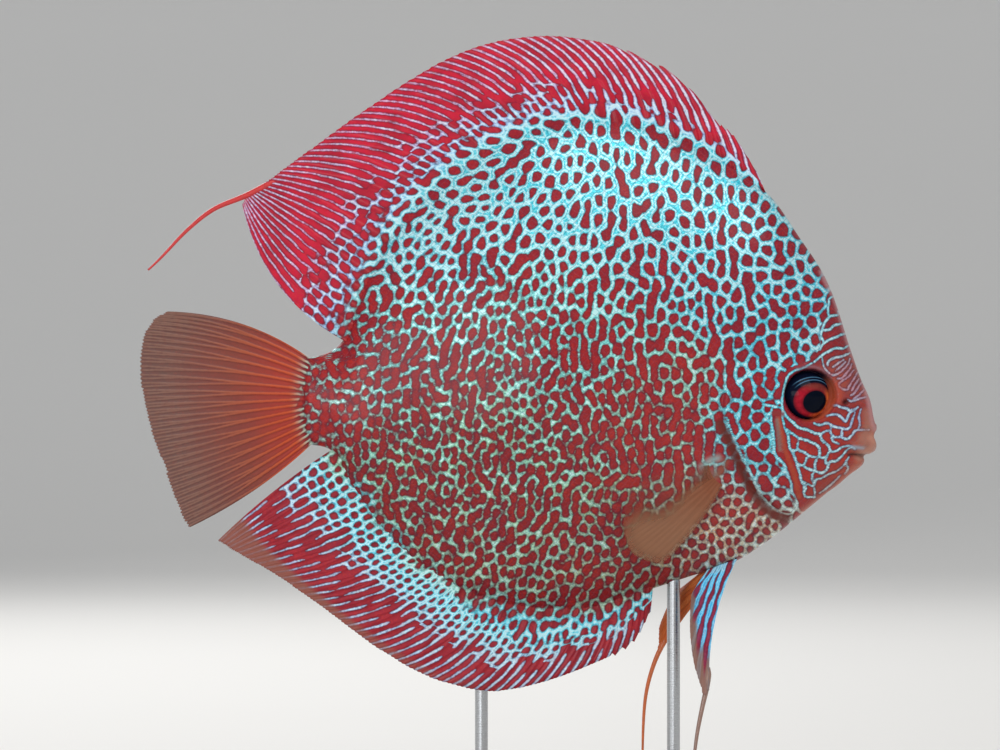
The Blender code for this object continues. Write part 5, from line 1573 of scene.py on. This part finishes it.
def makeSteel():
    made, tree, shader = newMaterial("brushedSteel")
    where = addNode(tree, "ShaderNodeTexCoord").outputs["Object"]
    lines = noise(tree, stretched(tree, where, steelLook["lines"]), 1.0, 2.0)
    feed(tree, shader, {
        "Base Color": mixColour(tree, lines, *[linear(*tint) for tint in steelLook["tints"]]),
        "Roughness": mapRange(tree, lines, 0.2, 0.8, *steelLook["roughness"]),
        "Metallic": 1.0, "Normal": bump(tree, lines, *steelLook["bump"])})
    return made


wood, steel = makeWood(), makeSteel()
for name, material in (("stand_base", wood), ("stand_rod_front", steel), ("stand_rod_rear", steel)):
    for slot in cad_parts[name].material_slots:
        slot.material = material
print("stand dressed")


# stage, lights and camera
studio = {
    "distance": 0.9, "aim": (-0.0017, 0.0, 0.1107), "frameWidth": 0.230, "sensor": 36.0,
    # the paper: width, length, front edge, flat length and the bend's radius, in metres
    "paper": (8.0, 8.0, -2.4, 3.6, 1.2), "paperRows": 48, "paperGrain": (3.0, 3.0), "paperShade": 0.97,
    "floor": (236, 234, 230), "world": (0.92, 0.95, 1.0), "worldStrength": 0.48,
    # place, aim, size, power, colour
    "lights": {
        "topSoftbox": ((0.25, -0.75, 1.05), (0.0, 0.0, 0.11), (0.9, 0.7), 6.6, (1.0, 0.98, 0.95)),
        "cameraFill": ((-0.6, -1.1, 0.22), (0.0, 0.0, 0.09), (0.7, 0.4), 4.0, (0.94, 0.97, 1.0)),
        "rimLight": ((-0.3, 0.8, 0.7), (0.0, 0.0, 0.12), (0.8, 0.5), 5.0, (1.0, 1.0, 1.0)),
    },
}


def makeStage():
    # floor that curves up into a backdrop
    bm = bmesh.new()
    bmesh.ops.create_grid(bm, x_segments=1, y_segments=studio["paperRows"], size=0.5)
    mesh = meshFrom(bm, "floorAndBackdrop")
    flat = readPoints(mesh)
    width, length, front, straight, bend = studio["paper"]
    run = (flat[:, 1] + 0.5) * length
    turn = np.clip((run - straight) / bend, 0, math.pi / 2)
    y = front + np.minimum(run, straight) + bend * np.sin(turn)
    z = bend * (1 - np.cos(turn)) + np.maximum(run - straight - bend * math.pi / 2, 0)
    mesh.vertices.foreach_set("co", np.column_stack([flat[:, 0] * width, y, z]).ravel())
    mesh.update()
    made, tree, shader = newMaterial("paperBackdrop")
    grain = noise(tree, addNode(tree, "ShaderNodeTexCoord").outputs["Object"], *studio["paperGrain"])
    paper = linear(*studio["floor"])
    feed(tree, shader, {"Base Color": mixColour(tree, grain, paper * studio["paperShade"], paper),
                        "Roughness": 0.7})
    mesh.materials.append(made)
    mesh.shade_smooth()
    stage = bpy.data.objects.new("floorAndBackdrop", mesh)
    bpy.context.scene.collection.objects.link(stage)


def softbox(name, at, aim, size, power, colour):
    light = bpy.data.lights.new(name, "AREA")
    light.shape, light.size, light.size_y = "RECTANGLE", *size
    light.energy, light.color = power, colour
    obj = bpy.data.objects.new(name, light)
    obj.location = at
    obj.rotation_euler = (Vector(aim) - Vector(at)).to_track_quat("-Z", "Y").to_euler()
    bpy.context.scene.collection.objects.link(obj)


makeStage()
for name, light in studio["lights"].items():
    softbox(name, *light)
world = bpy.data.worlds.new("studioAir")
bpy.context.scene.world = world
world.use_nodes = True
air = world.node_tree.nodes["Background"]
air.inputs["Color"].default_value = (*studio["world"], 1)
air.inputs["Strength"].default_value = studio["worldStrength"]

camera = bpy.data.objects.new("photoCamera", bpy.data.cameras.new("photoCamera"))
camera.data.sensor_width = studio["sensor"]
camera.data.lens = studio["sensor"] * studio["distance"] / studio["frameWidth"]
camera.data.clip_start = 0.05
camera.location = Vector(studio["aim"]) + Vector((0, -studio["distance"], 0))
camera.rotation_euler = (math.pi / 2, 0, 0)
bpy.context.scene.collection.objects.link(camera)
bpy.context.scene.camera = camera
bpy.context.scene.view_settings.view_transform = "Standard"
bpy.context.scene.view_settings.look = "None"
print("studio ready")

bpy.context.view_layer.update()
